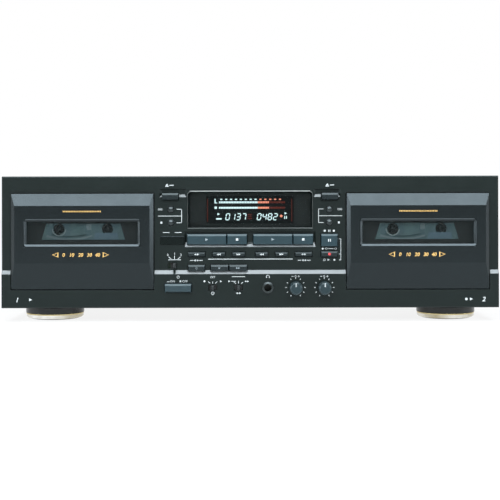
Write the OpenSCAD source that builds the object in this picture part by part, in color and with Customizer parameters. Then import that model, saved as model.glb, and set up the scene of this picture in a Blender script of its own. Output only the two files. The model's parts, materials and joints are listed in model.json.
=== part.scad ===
// Double cassette deck: two hinged cassette doors, a centre key panel and a folded steel case.
// Millimetres, +Z up, the front faces -Y, and the origin is on the floor under the middle.

/* [Case] */
// Width of the front panel
panel_w = 434; // [430:1:470]
// Height of the front panel
panel_h = 115; // [110:1:130]
// Depth from the knob faces to the socket tips
overall_d = 280; // [260:1:360]
// How far the panel stands proud of the cover on each side and on top
case_inset = 2.3; // [1.5:0.1:4]
// Thickness of the cover sheet
cover_t = 1; // [0.6:0.1:1.6]
// Thickness of the chassis and rear sheets
sheet_t = 1.2; // [0.8:0.1:2]
// Radius of the cover's folded edges
cover_r = 3; // [1.5:0.5:6]
// Height of the tray's folded walls
tray_wall = 18; // [14:1:30]
// Length of a cover vent slot
vent_l = 44; // [20:1:60]
// Width of a cover vent slot
vent_w = 3; // [2:0.5:5]
// Distance between vent slots
vent_pitch = 9; // [7:0.5:14]

/* [Feet] */
// Height of a foot
foot_h = 12; // [9:0.5:20]
// Radius of a foot
foot_r = 26; // [18:0.5:32]
// Height of the ring round the foot
ring_h = 4; // [2.5:0.5:6]
// Radial thickness of the ring
ring_t = 2.5; // [1.5:0.1:4]
// Feet centres in from the panel's ends
foot_inset = 41; // [36:1:60]
// Front feet centres behind the panel's upper face
foot_front = 36; // [32:1:60]
// Rear feet centres in front of the rear panel
foot_rear = 36; // [32:1:60]

/* [Front panel] */
// Wall of the moulded panel
panel_t = 3; // [2.6:0.1:4]
// Thickness of the panel's rim and well walls
rim_t = 2.5; // [1.8:0.1:2.8]
// Bevel on the panel's front edges
panel_bevel = 0.8; // [0.3:0.1:1.5]
// How far the lower strip stands out from the upper face
ledge_out = 2.5; // [1:0.1:4]
// Height of the lower strip
ledge_z = 29.3; // [27:0.1:30]
// Height of the slope above the lower strip
ledge_h = 3.5; // [2:0.1:5]
// Depth from the upper face to the chassis front wall
well_d = 20.5; // [20:0.1:28]

/* [Doors] */
// Width of a door
door_w = 124.2; // [120:0.1:125]
// Cassette's lower edge to the door's lower edge
door_under = 17.8; // [16:0.1:20]
// Panel's end to the door's edge
door_inset = 8.5; // [7:0.1:10]
// Panel's top to the door's top
door_drop = 15.2; // [12:0.1:18]
// How far the door's face stands out
door_out = 5.4; // [4:0.1:6.4]
// Height of the bevel along the door's top
door_top_bevel = 10.5; // [6:0.1:13]
// Width of the bevels down the door's sides
door_side_bevel = 3.2; // [2:0.1:6]
// Height of the slope at the door's foot
door_slope_h = 22.9; // [16:0.1:28]
// How far the door's edge stands out
door_edge = 2.6; // [0.8:0.1:3.4]
// How far the door's foot lies behind the lower strip
door_foot_in = 0.7; // [0.4:0.1:1]
// Wall of the door
door_wall = 2; // [1.5:0.1:2.5]
// How far the door's rim reaches behind the upper face
door_rim = 4; // [3:0.1:6]
// Gap round the door
door_gap = 0.6; // [0.4:0.1:1]
// Gap under the door
door_foot_gap = 0.8; // [0.8:0.1:2.5]
// Radius of a hinge pin
hinge_r = 1.3; // [1:0.1:1.6]
// Height of the hinge above the door's lower edge
hinge_up = 3.4; // [3.2:0.1:5]
// Width of the door's window
window_w = 96.7; // [88:0.1:100]
// Height of the door's window
window_h = 19.2; // [15:0.1:24]
// Door's top to the window's top
window_drop = 24.6; // [22:0.1:27]
// Width of the sloped frame round the window
window_bevel = 2.5; // [1:0.1:3]
// Thickness of the window
window_t = 1.5; // [1:0.1:2]
// How far the window reaches behind its frame
window_lip = 1.2; // [0.8:0.1:2]

/* [Cassette] */
// Width of a cassette
cassette_w = 100.4; // [100:0.1:101]
// Height of a cassette
cassette_h = 63.8; // [63:0.1:64.5]
// Thickness of a cassette at its thick edge
cassette_t = 12; // [11.5:0.1:12.4]
// Thickness of a cassette's body
cassette_body_t = 8.7; // [8.4:0.1:9]
// Distance between the hubs
hub_spacing = 42.5; // [42:0.1:43]
// Cassette's top edge to the hubs
hub_drop = 29.4; // [28.5:0.1:30]
// Radius of a hub's hole
hub_r = 5; // [4.8:0.1:5.5]
// Door's top to the cassette's top edge
cassette_drop = 1.8; // [1.6:0.1:4]
// Upper face of the panel to the cassette's middle
cassette_u = 9; // [8.6:0.1:9.4]
// Clearance round a cassette in its carrier
cassette_fit = 0.3; // [0.2:0.05:0.5]
// Width of the mouth that the heads enter
mouth_w = 54; // [52:0.5:58]
// Height of the mouth
mouth_h = 10.5; // [9.5:0.1:12]
// Shell walls beside the mouth
mouth_wall = 1.2; // [1:0.1:1.5]
// Radius of the capstan holes
guide_r = 3.2; // [3:0.1:3.5]
// Width of the thick edge at its foot
thick_w0 = 78; // [72:1:82]
// Width of the thick edge at its top
thick_w1 = 66; // [62:1:70]
// Height of the thick edge
thick_h = 17; // [16:0.5:19]
// Thickness of the carrier's walls
carrier_t = 2.2; // [1.5:0.1:2.8]
// How far the carrier's lips hold the cassette
carrier_lip = 3; // [2:0.1:4]
// Length of one carrier
carrier_l = 15; // [10:0.5:16]

/* [Mechanism] */
// Thickness of the mechanism plate and bridge
mech_t = 1.5; // [1.2:0.1:2]
// Distance between the capstans
capstan_spacing = 40; // [39:0.1:42]
// Capstans above the cassette's lower edge
capstan_up = 7.8; // [7.2:0.1:8]
// Radius of a capstan
capstan_r = 1; // [0.8:0.1:1.2]
// Clearance of a shaft in its bearing
run_clear = 0.05; // [0.03:0.01:0.08]
// Thickness of a flywheel
fly_t = 7; // [5:0.5:9]
// Thickness of the drive belt
belt_t = 1.2; // [0.8:0.1:1.6]
// Width of the drive belt
belt_w = 4; // [3:0.5:5]
// Gap between the belt and what it drives
belt_gap = 0.25; // [0.2:0.05:0.4]
// Radius of the motor's pulley
pulley_r = 4; // [3:0.1:6]
// Motor's shaft above the capstans
pulley_up = 43; // [38:0.5:46]
// Radius of the motor
motor_r = 14; // [11:0.5:16]
// Length of the motor
motor_l = 26; // [18:1:34]
// Radius of a reel spindle's shaft
spindle_r = 2; // [1.6:0.1:2.4]
// Radius across a spindle's fins
fin_r = 3.8; // [3.4:0.1:4]
// Radius of the wheel behind a spindle
reel_r = 11; // [8:0.5:13]
// Half width of the opening behind the mechanism plate
mech_half = 48; // [46:0.5:52]
// Radius of the pillars that carry the bridge
pillar_r = 2.5; // [2:0.1:3]
// Width of the head carriage
carriage_w = 60; // [56:1:66]
// Width of the head
head_w = 15; // [12:0.5:18]
// Radius of a pinch roller
roller_r = 4.5; // [3.5:0.1:5]

/* [Keys] */
// Gap between two keys in one opening
key_gap = 0.6; // [0.5:0.05:0.68]
// Clearance of a key in its opening
hole_clear = 0.35; // [0.35:0.01:0.5]
// Width of a play key
play_w = 34.3; // [30:0.1:35]
// Width of a stop key
stop_w = 17.4; // [14:0.1:18]
// Height of the play and stop keys
play_h = 9.2; // [7:0.1:10]
// Panel's top to the play keys
play_drop = 50.7; // [50:0.1:52]
// How far the play and stop keys stand out
play_out = 3; // [2:0.1:5]
// Gap between the two decks' keys
pair_gap = 5.4; // [4:0.1:7]
// Depth of the tray behind the play and stop keys
tray_d = 1.8; // [1:0.1:2]
// Margin of that tray round its keys
tray_margin = 2.3; // [1.5:0.1:2.8]
// Height of the slope along the tray's foot
tray_slope = 4.5; // [2.5:0.1:6]
// Width of a rewind or forward key
search_w = 11; // [9:0.1:13]
// Height of the search and direction keys
search_h = 4.1; // [3.5:0.1:4.6]
// Panel's top to the search keys
search_drop = 66.3; // [65.5:0.1:67]
// Middle to the inner search keys
search_in = 10.1; // [9:0.1:11]
// Middle to the outer search keys
search_out = 27.4; // [26:0.1:28]
// Width of a direction key
direction_w = 14.8; // [12:0.1:17]
// Middle to the direction keys
direction_x = 46.7; // [45.5:0.1:48]
// Width of the tape select key
select_w = 14.5; // [12:0.1:16]
// Middle to the tape select key
select_x = 46.9; // [46:0.1:48]
// Width of a dubbing key
dub_w = 15.6; // [12:0.1:16]
// Height of the dubbing keys
dub_h = 5.7; // [4.5:0.1:6.2]
// Panel's top to the dubbing keys
dub_drop = 77.4; // [77:0.1:78]
// How far the dubbing keys reach down over the slope above the lower strip
dub_lap = 0.9; // [0.5:0.1:1.5]
// Width of the record keys
record_w = 14.5; // [12:0.1:16]
// Middle to the record keys
record_x = 69.2; // [68:0.1:70]
// Height of the record pause key
pause_h = 11; // [9:0.1:12]
// Height of the record mute key
mute_h = 5.2; // [4:0.1:6]
// Panel's top to the record mute key
mute_drop = 65.6; // [65:0.1:67]
// How far the small keys stand out
small_out = 2.2; // [1.6:0.1:4]
// Width of an eject button
eject_w = 14.5; // [11:0.1:16]
// Height of an eject button
eject_h = 6; // [5:0.1:7]
// Middle to the eject buttons
eject_x = 69.7; // [69:0.1:71]
// Panel's top to the eject buttons
eject_drop = 14.8; // [14:0.1:16]
// How far the eject buttons stand out
eject_out = 4.2; // [3.5:0.1:6]
// Eject buttons to the walls of the door wells
column_margin = 4.25; // [4:0.05:6]
// Width of the scoop behind an eject button
scoop_w = 23.5; // [20:0.1:24]
// Height of the scoop
scoop_h = 7; // [5:0.1:8]
// Middle to the scoops
scoop_x = 67.3; // [66:0.1:69]
// Height of the slope along the scoop's foot and ends
scoop_slope = 1.6; // [0.8:0.1:2.4]
// Radius of a counter button
counter_r = 2.4; // [1.8:0.1:3]
// Middle to the counter buttons
counter_x = 69.2; // [68:0.1:71]
// Panel's top to the upper counter button
counter_drop = 29.2; // [28:0.1:31]
// Distance between two counter buttons
counter_pitch = 11.3; // [10:0.1:13]
// Width of the power button
power_w = 23; // [18:0.1:25]
// Height of the power button
power_h = 7.2; // [6:0.1:8]
// Middle to the power button
power_x = 62.8; // [61:0.1:65]
// How far the power button stands out
power_out = 4.6; // [4:0.1:7]
// Travel of a key
key_travel = 1.2; // [0.8:0.1:1.5]
// Travel of the eject and power buttons
button_travel = 3; // [2:0.1:3.3]

/* [Switches, knobs and phones] */
// Case's underside to the lower controls
lower_z = 17.7; // [17:0.1:19]
// Width of a switch lever
lever_w = 2.6; // [2:0.1:3.5]
// Height of a switch lever
lever_h = 4.6; // [3:0.1:5.5]
// How far a switch lever stands out
lever_out = 4; // [2.5:0.1:6]
// Travel of a switch lever
lever_travel = 4.2; // [3:0.1:6]
// Middle to the noise filter switch
noise_x = 66.1; // [65:0.1:68]
// Panel's top to the noise filter switch
noise_drop = 78.2; // [77.5:0.1:79]
// Middle to the timer switch
timer_x = 32.7; // [31:0.1:34]
// Middle to the reverse mode switch
reverse_x = 10.2; // [9:0.1:12]
// Middle to the phones socket
phones_x = 15.4; // [14:0.1:17]
// Radius of the phones socket's bore
phones_r = 3.2; // [3.2:0.05:3.3]
// Radius of the phones socket's ring
phones_ring = 5.2; // [5.1:0.1:6]
// Depth of the phones socket
phones_d = 13; // [11:0.5:14]
// Middle to the bias knob
bias_x = 39.6; // [38:0.1:41]
// Middle to the level knob
level_x = 64.6; // [63:0.1:66]
// Radius of a knob
knob_r = 5.5; // [4.5:0.1:7]
// How far a knob stands out from the lower strip
knob_out = 14; // [10:0.1:18]
// Radius of a control's shaft
shaft_r = 3; // [2:0.1:3.2]

/* [Display, boards and transformer] */
// Width of the display window
display_w = 109.6; // [100:0.1:111]
// Height of the display window
display_h = 33.5; // [30:0.1:34]
// Panel's top to the display window
display_drop = 12.6; // [12:0.1:14]
// Cut corners along the display window's top
display_cut = 2.2; // [1:0.1:4]
// How far the display window stands out
display_out = 1.2; // [0.6:0.1:2]
// Depth of the display window's seat
display_seat = 1.6; // [1:0.1:2]
// Width of the display window's seat
display_lip = 2; // [1.2:0.1:3]
// Thickness of a circuit board
board_t = 1.6; // [1.2:0.1:2]
// Upper face of the panel to the control board
board_u = 15.5; // [15:0.1:16.5]
// Height of a key switch
switch_h = 4; // [3:0.1:4.5]
// Width of the display tube
tube_w = 78; // [60:1:90]
// Height of the display tube
tube_h = 25; // [20:0.5:28]
// Height of the main board's posts
post_h = 8; // [6:0.5:12]
// Width of the transformer's core
transformer_w = 62; // [50:1:70]
// Depth of the transformer's core
transformer_d = 34; // [28:1:40]
// Height of the transformer's core
transformer_h = 52; // [44:1:60]

/* [Rear] */
// How far the sockets stand out
sleeve_out = 9; // [7:0.1:12]
// Radius of a line socket's sleeve
sleeve_r = 4.15; // [4:0.05:4.2]
// Radius of a line socket's bore
sleeve_bore = 1.65; // [1.5:0.05:1.8]
// Distance between line sockets
socket_pitch = 15; // [13:0.5:18]
// Middle to the line sockets
socket_x = 130; // [100:1:150]
// Middle to the cord gland
gland_x = 165; // [150:1:185]
// Case's underside to the cord gland
gland_up = 30; // [24:1:60]
// Radius of the cord gland's bore
gland_r = 3.5; // [3:0.1:4]

/* [Hidden] */
$fn = 64;
// Overlap where shapes are fused, and how far cuts run past a face
lap = 0.2;
past = 2;
// Clearances: fixed pieces, sliding pieces
fit = 0.2;
slide = 0.3;
// Small bevel on moulded and turned edges
edge = 0.5;
// Flange behind a key or lever: thickness, reach past the opening
flange_t = 1.5;
flange_up = 1.2;
// Stem that presses a switch: half width, half height
stem_w = 2;
stem_h = 1.2;

// Heights and depths that the pieces share
z_base = foot_h;
z_top = foot_h + panel_h;
y_low = knob_out - overall_d / 2;
y_up = y_low + ledge_out;
y_back = y_up + panel_t;
y_low_back = y_low + panel_t;
y_frame = y_up + well_d;
y_mech = y_frame - mech_t;
y_board = y_up + board_u;
y_rear = overall_d / 2 - sleeve_out;
y_in = max(y_up + lap, y_low_back - lap);
z_ledge0 = z_base + ledge_z;
z_ledge1 = z_ledge0 + ledge_h;
z_lower = z_base + lower_z;
z_cover = z_top - case_inset;
z_roof = z_cover - cover_t;
case_w = panel_w - 2 * case_inset;
tray_w = case_w - 2 * cover_t - 2 * fit;
z_floor = z_base + sheet_t;

// Doors and cassettes
DECKS = ["a", "b"];
door_h = cassette_drop + cassette_h + door_under;
door_x = panel_w / 2 - door_inset - door_w / 2;
door_z1 = z_top - door_drop;
door_z0 = door_z1 - door_h;
y_hinge = y_up;
z_hinge = door_z0 + hinge_up;
hinge_len = door_gap + rim_t - fit;
y_lens = y_up - door_out + door_wall;
window_z1 = door_z1 - window_drop;
window_z0 = window_z1 - window_h;
cassette_z1 = door_z1 - cassette_drop;
cassette_z0 = cassette_z1 - cassette_h;
cassette_y = y_up + cassette_u;
hub_z = cassette_z1 - hub_drop;

// Drive: capstan tips before the cassette's middle, flywheels behind the wall, bridge behind the flywheels
tip_in = 2;
fly_back = 5;
bridge_back = 2;
// Mechanism plate: above the door's foot, in from the door's sides, rim round the opening behind it
mech_up = 4;
mech_in = 2;
mech_rim = 3;
// Head carriage's reach under the rollers
carriage_under = 2.5;
capstan_z = cassette_z0 + capstan_up;
capstan_tip = cassette_y - tip_in;
fly_r = (capstan_spacing - belt_t - 3 * belt_gap) / 2;
fly_y = y_frame + sheet_t + fly_back;
bridge_y = fly_y + fly_t + bridge_back;
motor_z = capstan_z + pulley_up;
mech_z0 = door_z0 + mech_up;
mech_z1 = door_z1 - fit;
pillar_x = mech_half - pillar_r - slide;
roller_z = cassette_z0 - slide - roller_r;
carriage_foot = roller_z - roller_r - carriage_under;

// Middle section: its widths follow the room between the wells, its heights the room above the ledge
mid_half = door_x - door_w / 2 - door_gap - rim_t;
mid_k = mid_half / (eject_x + eject_w / 2 + column_margin);
up_k = (z_top - z_ledge1) / (dub_drop + dub_h - dub_lap);

function from_top(drop) = z_top - up_k * drop;

// Key plan: name, x, drop from the panel's top, width, height, front, travel
gap_w = key_gap / mid_k;
pair_w = stop_w + gap_w + play_w;
dub_x = pair_gap / 2 + dub_w / 2;
y_small = y_up - small_out;
y_play = y_up - play_out;
y_eject = y_up - eject_out;
KEY_PLAN = [
    ["play_key_a", -pair_gap / 2 - pair_w + play_w / 2, play_drop, play_w, play_h, y_play, key_travel],
    ["stop_key_a", -pair_gap / 2 - stop_w / 2, play_drop, stop_w, play_h, y_play, key_travel],
    ["play_key_b", pair_gap / 2 + play_w / 2, play_drop, play_w, play_h, y_play, key_travel],
    ["stop_key_b", pair_gap / 2 + pair_w - stop_w / 2, play_drop, stop_w, play_h, y_play, key_travel],
    ["direction_key_a", -direction_x, search_drop, direction_w, search_h, y_small, key_travel],
    ["rewind_key_a", -search_out, search_drop, search_w, search_h, y_small, key_travel],
    ["forward_key_a", -search_in, search_drop, search_w, search_h, y_small, key_travel],
    ["rewind_key_b", search_in, search_drop, search_w, search_h, y_small, key_travel],
    ["forward_key_b", search_out, search_drop, search_w, search_h, y_small, key_travel],
    ["direction_key_b", direction_x, search_drop, direction_w, search_h, y_small, key_travel],
    ["tape_select_key", -select_x, dub_drop, select_w, dub_h, y_play, key_travel],
    ["dub_normal_key", -dub_x - dub_w - gap_w, dub_drop, dub_w, dub_h, y_play, key_travel],
    ["dub_high_key", -dub_x, dub_drop, dub_w, dub_h, y_play, key_travel],
    ["record_pause_key", record_x, play_drop, record_w, pause_h, y_play, key_travel],
    ["record_mute_key", record_x, mute_drop, record_w, mute_h, y_small, key_travel],
    ["eject_button_a", -eject_x, eject_drop, eject_w, eject_h, y_eject, button_travel],
    ["eject_button_b", eject_x, eject_drop, eject_w, eject_h, y_eject, button_travel]
];
POWER = ["power_button", -mid_k * power_x, z_lower, mid_k * power_w, power_h,
    y_low - power_out, y_low_back, button_travel];
// Keys as placed: name, x, middle height, width, height, front, panel's back, travel
KEYS = concat(
    [for (k = KEY_PLAN) [k[0], mid_k * k[1], from_top(k[2] + k[4] / 2), mid_k * k[3], up_k * k[4],
        k[5], y_back, k[6]]],
    [POWER]
);
// Counter buttons: name, x, height
counter_z = from_top(counter_drop);
memory_z = from_top(counter_drop + counter_pitch);
COUNTERS = [
    ["counter_reset_a", -mid_k * counter_x, counter_z],
    ["counter_memory_a", -mid_k * counter_x, memory_z],
    ["counter_reset_b", mid_k * counter_x, counter_z],
    ["counter_memory_b", mid_k * counter_x, memory_z]
];
// Slide switches: name, x at rest, height, face, panel's back, travel to the left, travel to the right
half_travel = lever_travel / 2;
SWITCHES = [
    ["noise_switch", -mid_k * noise_x, from_top(noise_drop), y_up, y_back, lever_travel, 0],
    ["timer_switch", -mid_k * timer_x, z_lower, y_low, y_low_back, half_travel, half_travel],
    ["reverse_switch", -mid_k * reverse_x, z_lower, y_low, y_low_back, half_travel, half_travel]
];
// Knobs: name, x
KNOBS = [["bias_knob", mid_k * bias_x], ["level_knob", mid_k * level_x]];
jack_x = mid_k * phones_x;
// Phones bush: how far its ring stands out, the ring's overlap on the panel
ring_out = 1.6;
ring_lip = 1;
// Board pillars: radius, middle to the upper pair, middle to the lower two, drop below the ledge
boss_r = 3;
boss_x = 61.2;
boss_left = 44.3;
boss_right = 27.5;
boss_drop = 3;
BOSSES = [
    [-mid_k * boss_x, (counter_z + memory_z) / 2],
    [mid_k * boss_x, (counter_z + memory_z) / 2],
    [-mid_k * boss_left, z_ledge0 - boss_drop],
    [mid_k * boss_right, z_ledge0 - boss_drop]
];
// Case screws: shank, head, head's height, height of their row, reach past the sheets, place from the ends
screw_r = 1.6;
screw_head = 3.4;
screw_head_h = 1.8;
screw_up = 11;
screw_past = 2;
screw_inset = 40;
SIDE_SCREWS = [y_frame + screw_inset, y_rear - screw_inset];
rear_out = 0.43;
rear_in = 0.15;
REAR_SCREWS = [for (share = [-rear_out, -rear_in, rear_in, rear_out]) share * tray_w];
foot_x = panel_w / 2 - foot_inset;
FEET = [for (s = [-1, 1], y = [y_up + foot_front, y_rear - foot_rear]) [s * foot_x, y]];

// Drawing helpers
module box(x0, x1, y0, y1, z0, z1) {
    translate([x0, y0, z0]) cube([x1 - x0, y1 - y0, z1 - z0]);
}

// Side profile, in y and z, drawn out along x
module along_x(x0, x1) {
    translate([x0, 0, 0]) rotate([90, 0, 90]) linear_extrude(x1 - x0) children();
}

// Front outline, in x and z, drawn out along y
module along_y(y0, y1) {
    translate([0, y1, 0]) rotate([90, 0, 0]) linear_extrude(y1 - y0) children();
}

module rod_x(x0, x1, y, z, r) {
    translate([x0, y, z]) rotate([0, 90, 0]) cylinder(h = x1 - x0, r = r);
}

module rod_y(x, y0, y1, z, r) {
    translate([x, y0, z]) rotate([-90, 0, 0]) cylinder(h = y1 - y0, r = r);
}

// Profile of radius and length, turned round a line along y
module turned_y(x, y, z) {
    translate([x, y, z]) rotate([-90, 0, 0]) rotate_extrude() children();
}

// Block with bevelled front edges, from y0 in front to y1 behind
module bevelled(w, z0, z1, y0, y1, top, foot, side, depth) {
    intersection() {
        along_x(-w / 2, w / 2)
            polygon([[y1, z1], [y0 + depth, z1], [y0, z1 - top],
                [y0, z0 + foot], [y0 + depth, z0], [y1, z0]]);
        translate([0, 0, z0]) linear_extrude(z1 - z0)
            polygon([[-w / 2, y1], [-w / 2, y0 + depth], [side - w / 2, y0],
                [w / 2 - side, y0], [w / 2, y0 + depth], [w / 2, y1]]);
    }
}

// Cut with sloped walls, wide at the face y0 and narrow at its floor y1
module sloped_cut(w, z0, z1, y0, y1, top, foot, side) {
    intersection() {
        along_x(-w / 2, w / 2)
            polygon([[y0 - past, z1], [y0, z1], [y1, z1 - top],
                [y1, z0 + foot], [y0, z0], [y0 - past, z0]]);
        translate([0, 0, z0]) linear_extrude(z1 - z0)
            polygon([[-w / 2, y0 - past], [-w / 2, y0], [side - w / 2, y1],
                [w / 2 - side, y1], [w / 2, y0], [w / 2, y0 - past]]);
    }
}

// Front panel moulding
panel_outline = [
    [y_up + panel_bevel, z_top], [y_up, z_top - panel_bevel], [y_up, z_ledge1], [y_low, z_ledge0],
    [y_low, z_base + panel_bevel], [y_low + panel_bevel, z_base], [y_frame, z_base], [y_frame, z_top]];
panel_hollow = [
    [y_frame + past, z_base + rim_t], [y_low_back, z_base + rim_t], [y_low_back, z_ledge0],
    [y_back, z_ledge1], [y_back, z_top - rim_t], [y_frame + past, z_top - rim_t]];

function display_outline(grow) = let(
    z1 = from_top(display_drop) + grow,
    z0 = from_top(display_drop + display_h) - grow,
    x = mid_k * display_w / 2 + grow,
    cut = display_cut)
    [[-x, z0], [x, z0], [x, z1 - cut], [x - cut, z1], [cut - x, z1], [-x, z1 - cut]];

module well_wall() {
    x = door_w / 2 + door_gap + rim_t;
    box(-x, x, y_in, y_frame, door_z0 - door_foot_gap - rim_t, door_z1 + door_gap + rim_t);
}

module well_opening() {
    x = door_w / 2 + door_gap;
    box(-x, x, y_low - past, y_frame + past, door_z0 - door_foot_gap, door_z1 + door_gap);
    rod_x(-x - rim_t - lap, x + rim_t + lap, y_hinge, z_hinge, hinge_r + run_clear);
}

// Sloped tray behind the play keys, whose foot shows at its ends and between the two decks' keys
module key_tray() {
    half_h = play_h / 2 + tray_margin;
    mid = play_drop + play_h / 2;
    w = 2 * mid_k * (pair_gap / 2 + pair_w + tray_margin);
    sloped_cut(w, from_top(mid + half_h), from_top(mid - half_h),
        y_up, y_up + tray_d, fit, tray_slope, tray_margin / 2);
}

// Scoops behind the eject buttons
module eject_scoops() {
    for (s = [-1, 1]) translate([s * mid_k * scoop_x, 0, 0])
        sloped_cut(mid_k * scoop_w, from_top(eject_drop + scoop_h / 2), from_top(eject_drop - scoop_h / 2),
            y_up, y_up + tray_d, fit, scoop_slope, scoop_slope);
}

module panel_openings() {
    along_y(y_up - past, y_up + display_seat) polygon(display_outline(fit));
    along_y(y_up - past, y_back + past) polygon(display_outline(-display_lip));
    key_tray();
    eject_scoops();
    for (k = KEYS)
        box(k[1] - k[3] / 2 - hole_clear, k[1] + k[3] / 2 + hole_clear, y_low - past, y_back + past,
            k[2] - k[4] / 2 - hole_clear, k[2] + k[4] / 2 + hole_clear);
    for (c = COUNTERS)
        rod_y(c[1], y_up - past, y_back + past, c[2], counter_r + hole_clear);
    for (s = SWITCHES)
        box(s[1] - s[5] - lever_w / 2 - hole_clear, s[1] + s[6] + lever_w / 2 + hole_clear, y_low - past,
            y_back + past, s[2] - lever_h / 2 - hole_clear, s[2] + lever_h / 2 + hole_clear);
    for (k = KNOBS)
        rod_y(k[1], y_low - past, y_back + past, z_lower, shaft_r + hole_clear);
    rod_y(jack_x, y_low - past, y_back + past, z_lower, phones_ring - ring_lip + fit);
}

module front_panel() {
    color("#2c3033") difference() {
        union() {
            along_x(-panel_w / 2, panel_w / 2) difference() {
                polygon(panel_outline);
                polygon(panel_hollow);
            }
            along_x(-panel_w / 2, rim_t - panel_w / 2) polygon(panel_outline);
            along_x(panel_w / 2 - rim_t, panel_w / 2) polygon(panel_outline);
            for (s = [-1, 1]) translate([s * door_x, 0, 0]) well_wall();
            for (b = BOSSES) rod_y(b[0], y_in, y_board, b[1], boss_r);
        }
        for (s = [-1, 1]) translate([s * door_x, 0, 0]) well_opening();
        panel_openings();
    }
}

module display_window() {
    color("#15191c") intersection() {
        along_y(y_up - display_out, y_up + display_seat) polygon(display_outline(0));
        bevelled(mid_k * display_w, from_top(display_drop + display_h), from_top(display_drop),
            y_up - display_out, y_up + display_seat, display_out, display_out, display_out, display_out);
    }
}

// Folded case: the rear vents end this far from the rear panel
vent_edge = 24;

module cover_outline(w, z1, r) {
    z0 = z_base + fit;
    translate([-w / 2, z0]) square([w, z1 - r - z0]);
    translate([r - w / 2, z0]) square([w - 2 * r, z1 - z0]);
    for (s = [-1, 1]) translate([s * (w / 2 - r), z1 - r]) circle(r);
}

module top_cover() {
    vents = floor(case_w / 2 / vent_pitch / 2);
    color("#23262a") difference() {
        along_y(y_frame + fit, y_rear) difference() {
            cover_outline(case_w, z_cover, cover_r);
            translate([0, -past]) cover_outline(case_w - 2 * cover_t, z_roof + past, cover_r - cover_t);
        }
        for (i = [-vents:vents], y = [0, y_rear - vent_l - vent_edge])
            translate([i * vent_pitch - vent_w / 2, y, z_roof - past])
                cube([vent_w, vent_l, cover_t + 2 * past]);
        for (y = SIDE_SCREWS)
            rod_x(-case_w, case_w, y, z_base + screw_up, screw_r + hole_clear);
    }
}

module chassis_tray() {
    x = tray_w / 2;
    y1 = y_rear - sheet_t;
    color("#9aa0a3") difference() {
        union() {
            box(-x, x, y_frame, y1, z_base, z_floor);
            box(-x, x, y_frame, y_frame + sheet_t, z_base, z_roof);
            box(-x, x, y1 - sheet_t, y1, z_base, z_base + tray_wall);
            for (s = [-1, 1]) translate([s * (x - sheet_t / 2) - sheet_t / 2, y_frame, z_base])
                cube([sheet_t, y1 - y_frame, tray_wall]);
        }
        for (s = [-1, 1])
            box(s * door_x - mech_half, s * door_x + mech_half, y_frame - past, y_frame + sheet_t + past,
                mech_z0 + mech_rim, mech_z1 - mech_rim);
        for (y = SIDE_SCREWS)
            rod_x(-case_w, case_w, y, z_base + screw_up, screw_r + fit);
        for (x = REAR_SCREWS)
            rod_y(x, y1 - sheet_t - past, y1 + past, z_base + screw_up, screw_r + fit);
    }
}

// Line socket block: margin round the sockets, how far it stands out, lip on the panel, depth inside
socket_z = (z_base + z_cover) / 2;
block_margin = 4;
block_out = 2;
block_lip = 2;
block_in = 10;
block_half = socket_pitch / 2 + sleeve_r + block_margin;
SOCKETS = [for (sx = [-1, 1], sz = [-1, 1])
    [sx * socket_pitch / 2 - socket_x, sz * socket_pitch / 2 + socket_z]];
// Cord gland: wall, lip of its flange, thickness of the flange, depth inside
gland_wall = 2;
gland_lip = 2.5;
gland_out = 3;
gland_in = 6;
gland_z = z_base + gland_up;
// Depth of the fold along the rear panel's top
rear_fold = 8;

module rear_panel() {
    y0 = y_rear - sheet_t;
    hole = block_half - block_lip;
    color("#1e2124") difference() {
        union() {
            box(-tray_w / 2, tray_w / 2, y0, y_rear, z_base, z_roof);
            box(cover_r - tray_w / 2, tray_w / 2 - cover_r, y0 - rear_fold, y_rear,
                z_roof - sheet_t, z_roof);
        }
        translate([-socket_x, 0, socket_z]) box(-hole, hole, y0 - past, y_rear + past, -hole, hole);
        rod_y(gland_x, y0 - past, y_rear + past, gland_z, gland_r + gland_wall + fit);
        for (x = REAR_SCREWS)
            rod_y(x, y0 - past, y_rear + past, z_base + screw_up, screw_r + fit);
        for (s = [-1, 1]) translate([s * (tray_w / 2), y0 - past, z_roof])
            rotate([0, 45, 0]) cube([cover_r, 2 * sheet_t + 4 * past, cover_r], center = true);
    }
}

module cord_gland() {
    y0 = y_rear - sheet_t - gland_in;
    difference() {
        union() {
            rod_y(gland_x, y_rear, y_rear + gland_out, gland_z, gland_r + gland_wall + gland_lip);
            rod_y(gland_x, y0, y_rear + lap, gland_z, gland_r + gland_wall);
        }
        rod_y(gland_x, y0 - past, y_rear + gland_out + past, gland_z, gland_r);
    }
}

module rear_sockets() {
    inner = block_half - block_lip - fit;
    color("#17191b") {
        translate([-socket_x, 0, socket_z]) {
            box(-block_half, block_half, y_rear, y_rear + block_out, -block_half, block_half);
            box(-inner, inner, y_rear - sheet_t - block_in, y_rear + lap, -inner, inner);
        }
        cord_gland();
    }
}

// Line socket sleeves: floor of the bore, bevel of the mouth
sleeve_floor = 1;
sleeve_edge = 0.4;

module socket_sleeves() {
    len = sleeve_out - block_out;
    color("#c8a850") for (s = SOCKETS)
        turned_y(s[0], y_rear + block_out, s[1])
            polygon([[0, 0], [sleeve_r, 0], [sleeve_r, len - sleeve_edge], [sleeve_r - sleeve_edge, len],
                [sleeve_bore, len], [sleeve_bore, sleeve_floor], [0, sleeve_floor]]);
    color("#c8ccd0") turned_y(jack_x, y_low - ring_out, z_lower)
        polygon([[phones_r, 0], [phones_ring - edge, 0], [phones_ring, edge], [phones_ring, ring_out],
            [phones_ring - ring_lip, ring_out], [phones_ring - ring_lip, phones_d], [phones_r, phones_d]]);
}

// Feet: height of the pad under the ring, rounded-off edges, step above the ring
foot_pad = 0.8;
foot_edge = 1.5;
foot_step = 0.6;
foot_seat = foot_pad + ring_h + fit;

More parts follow.
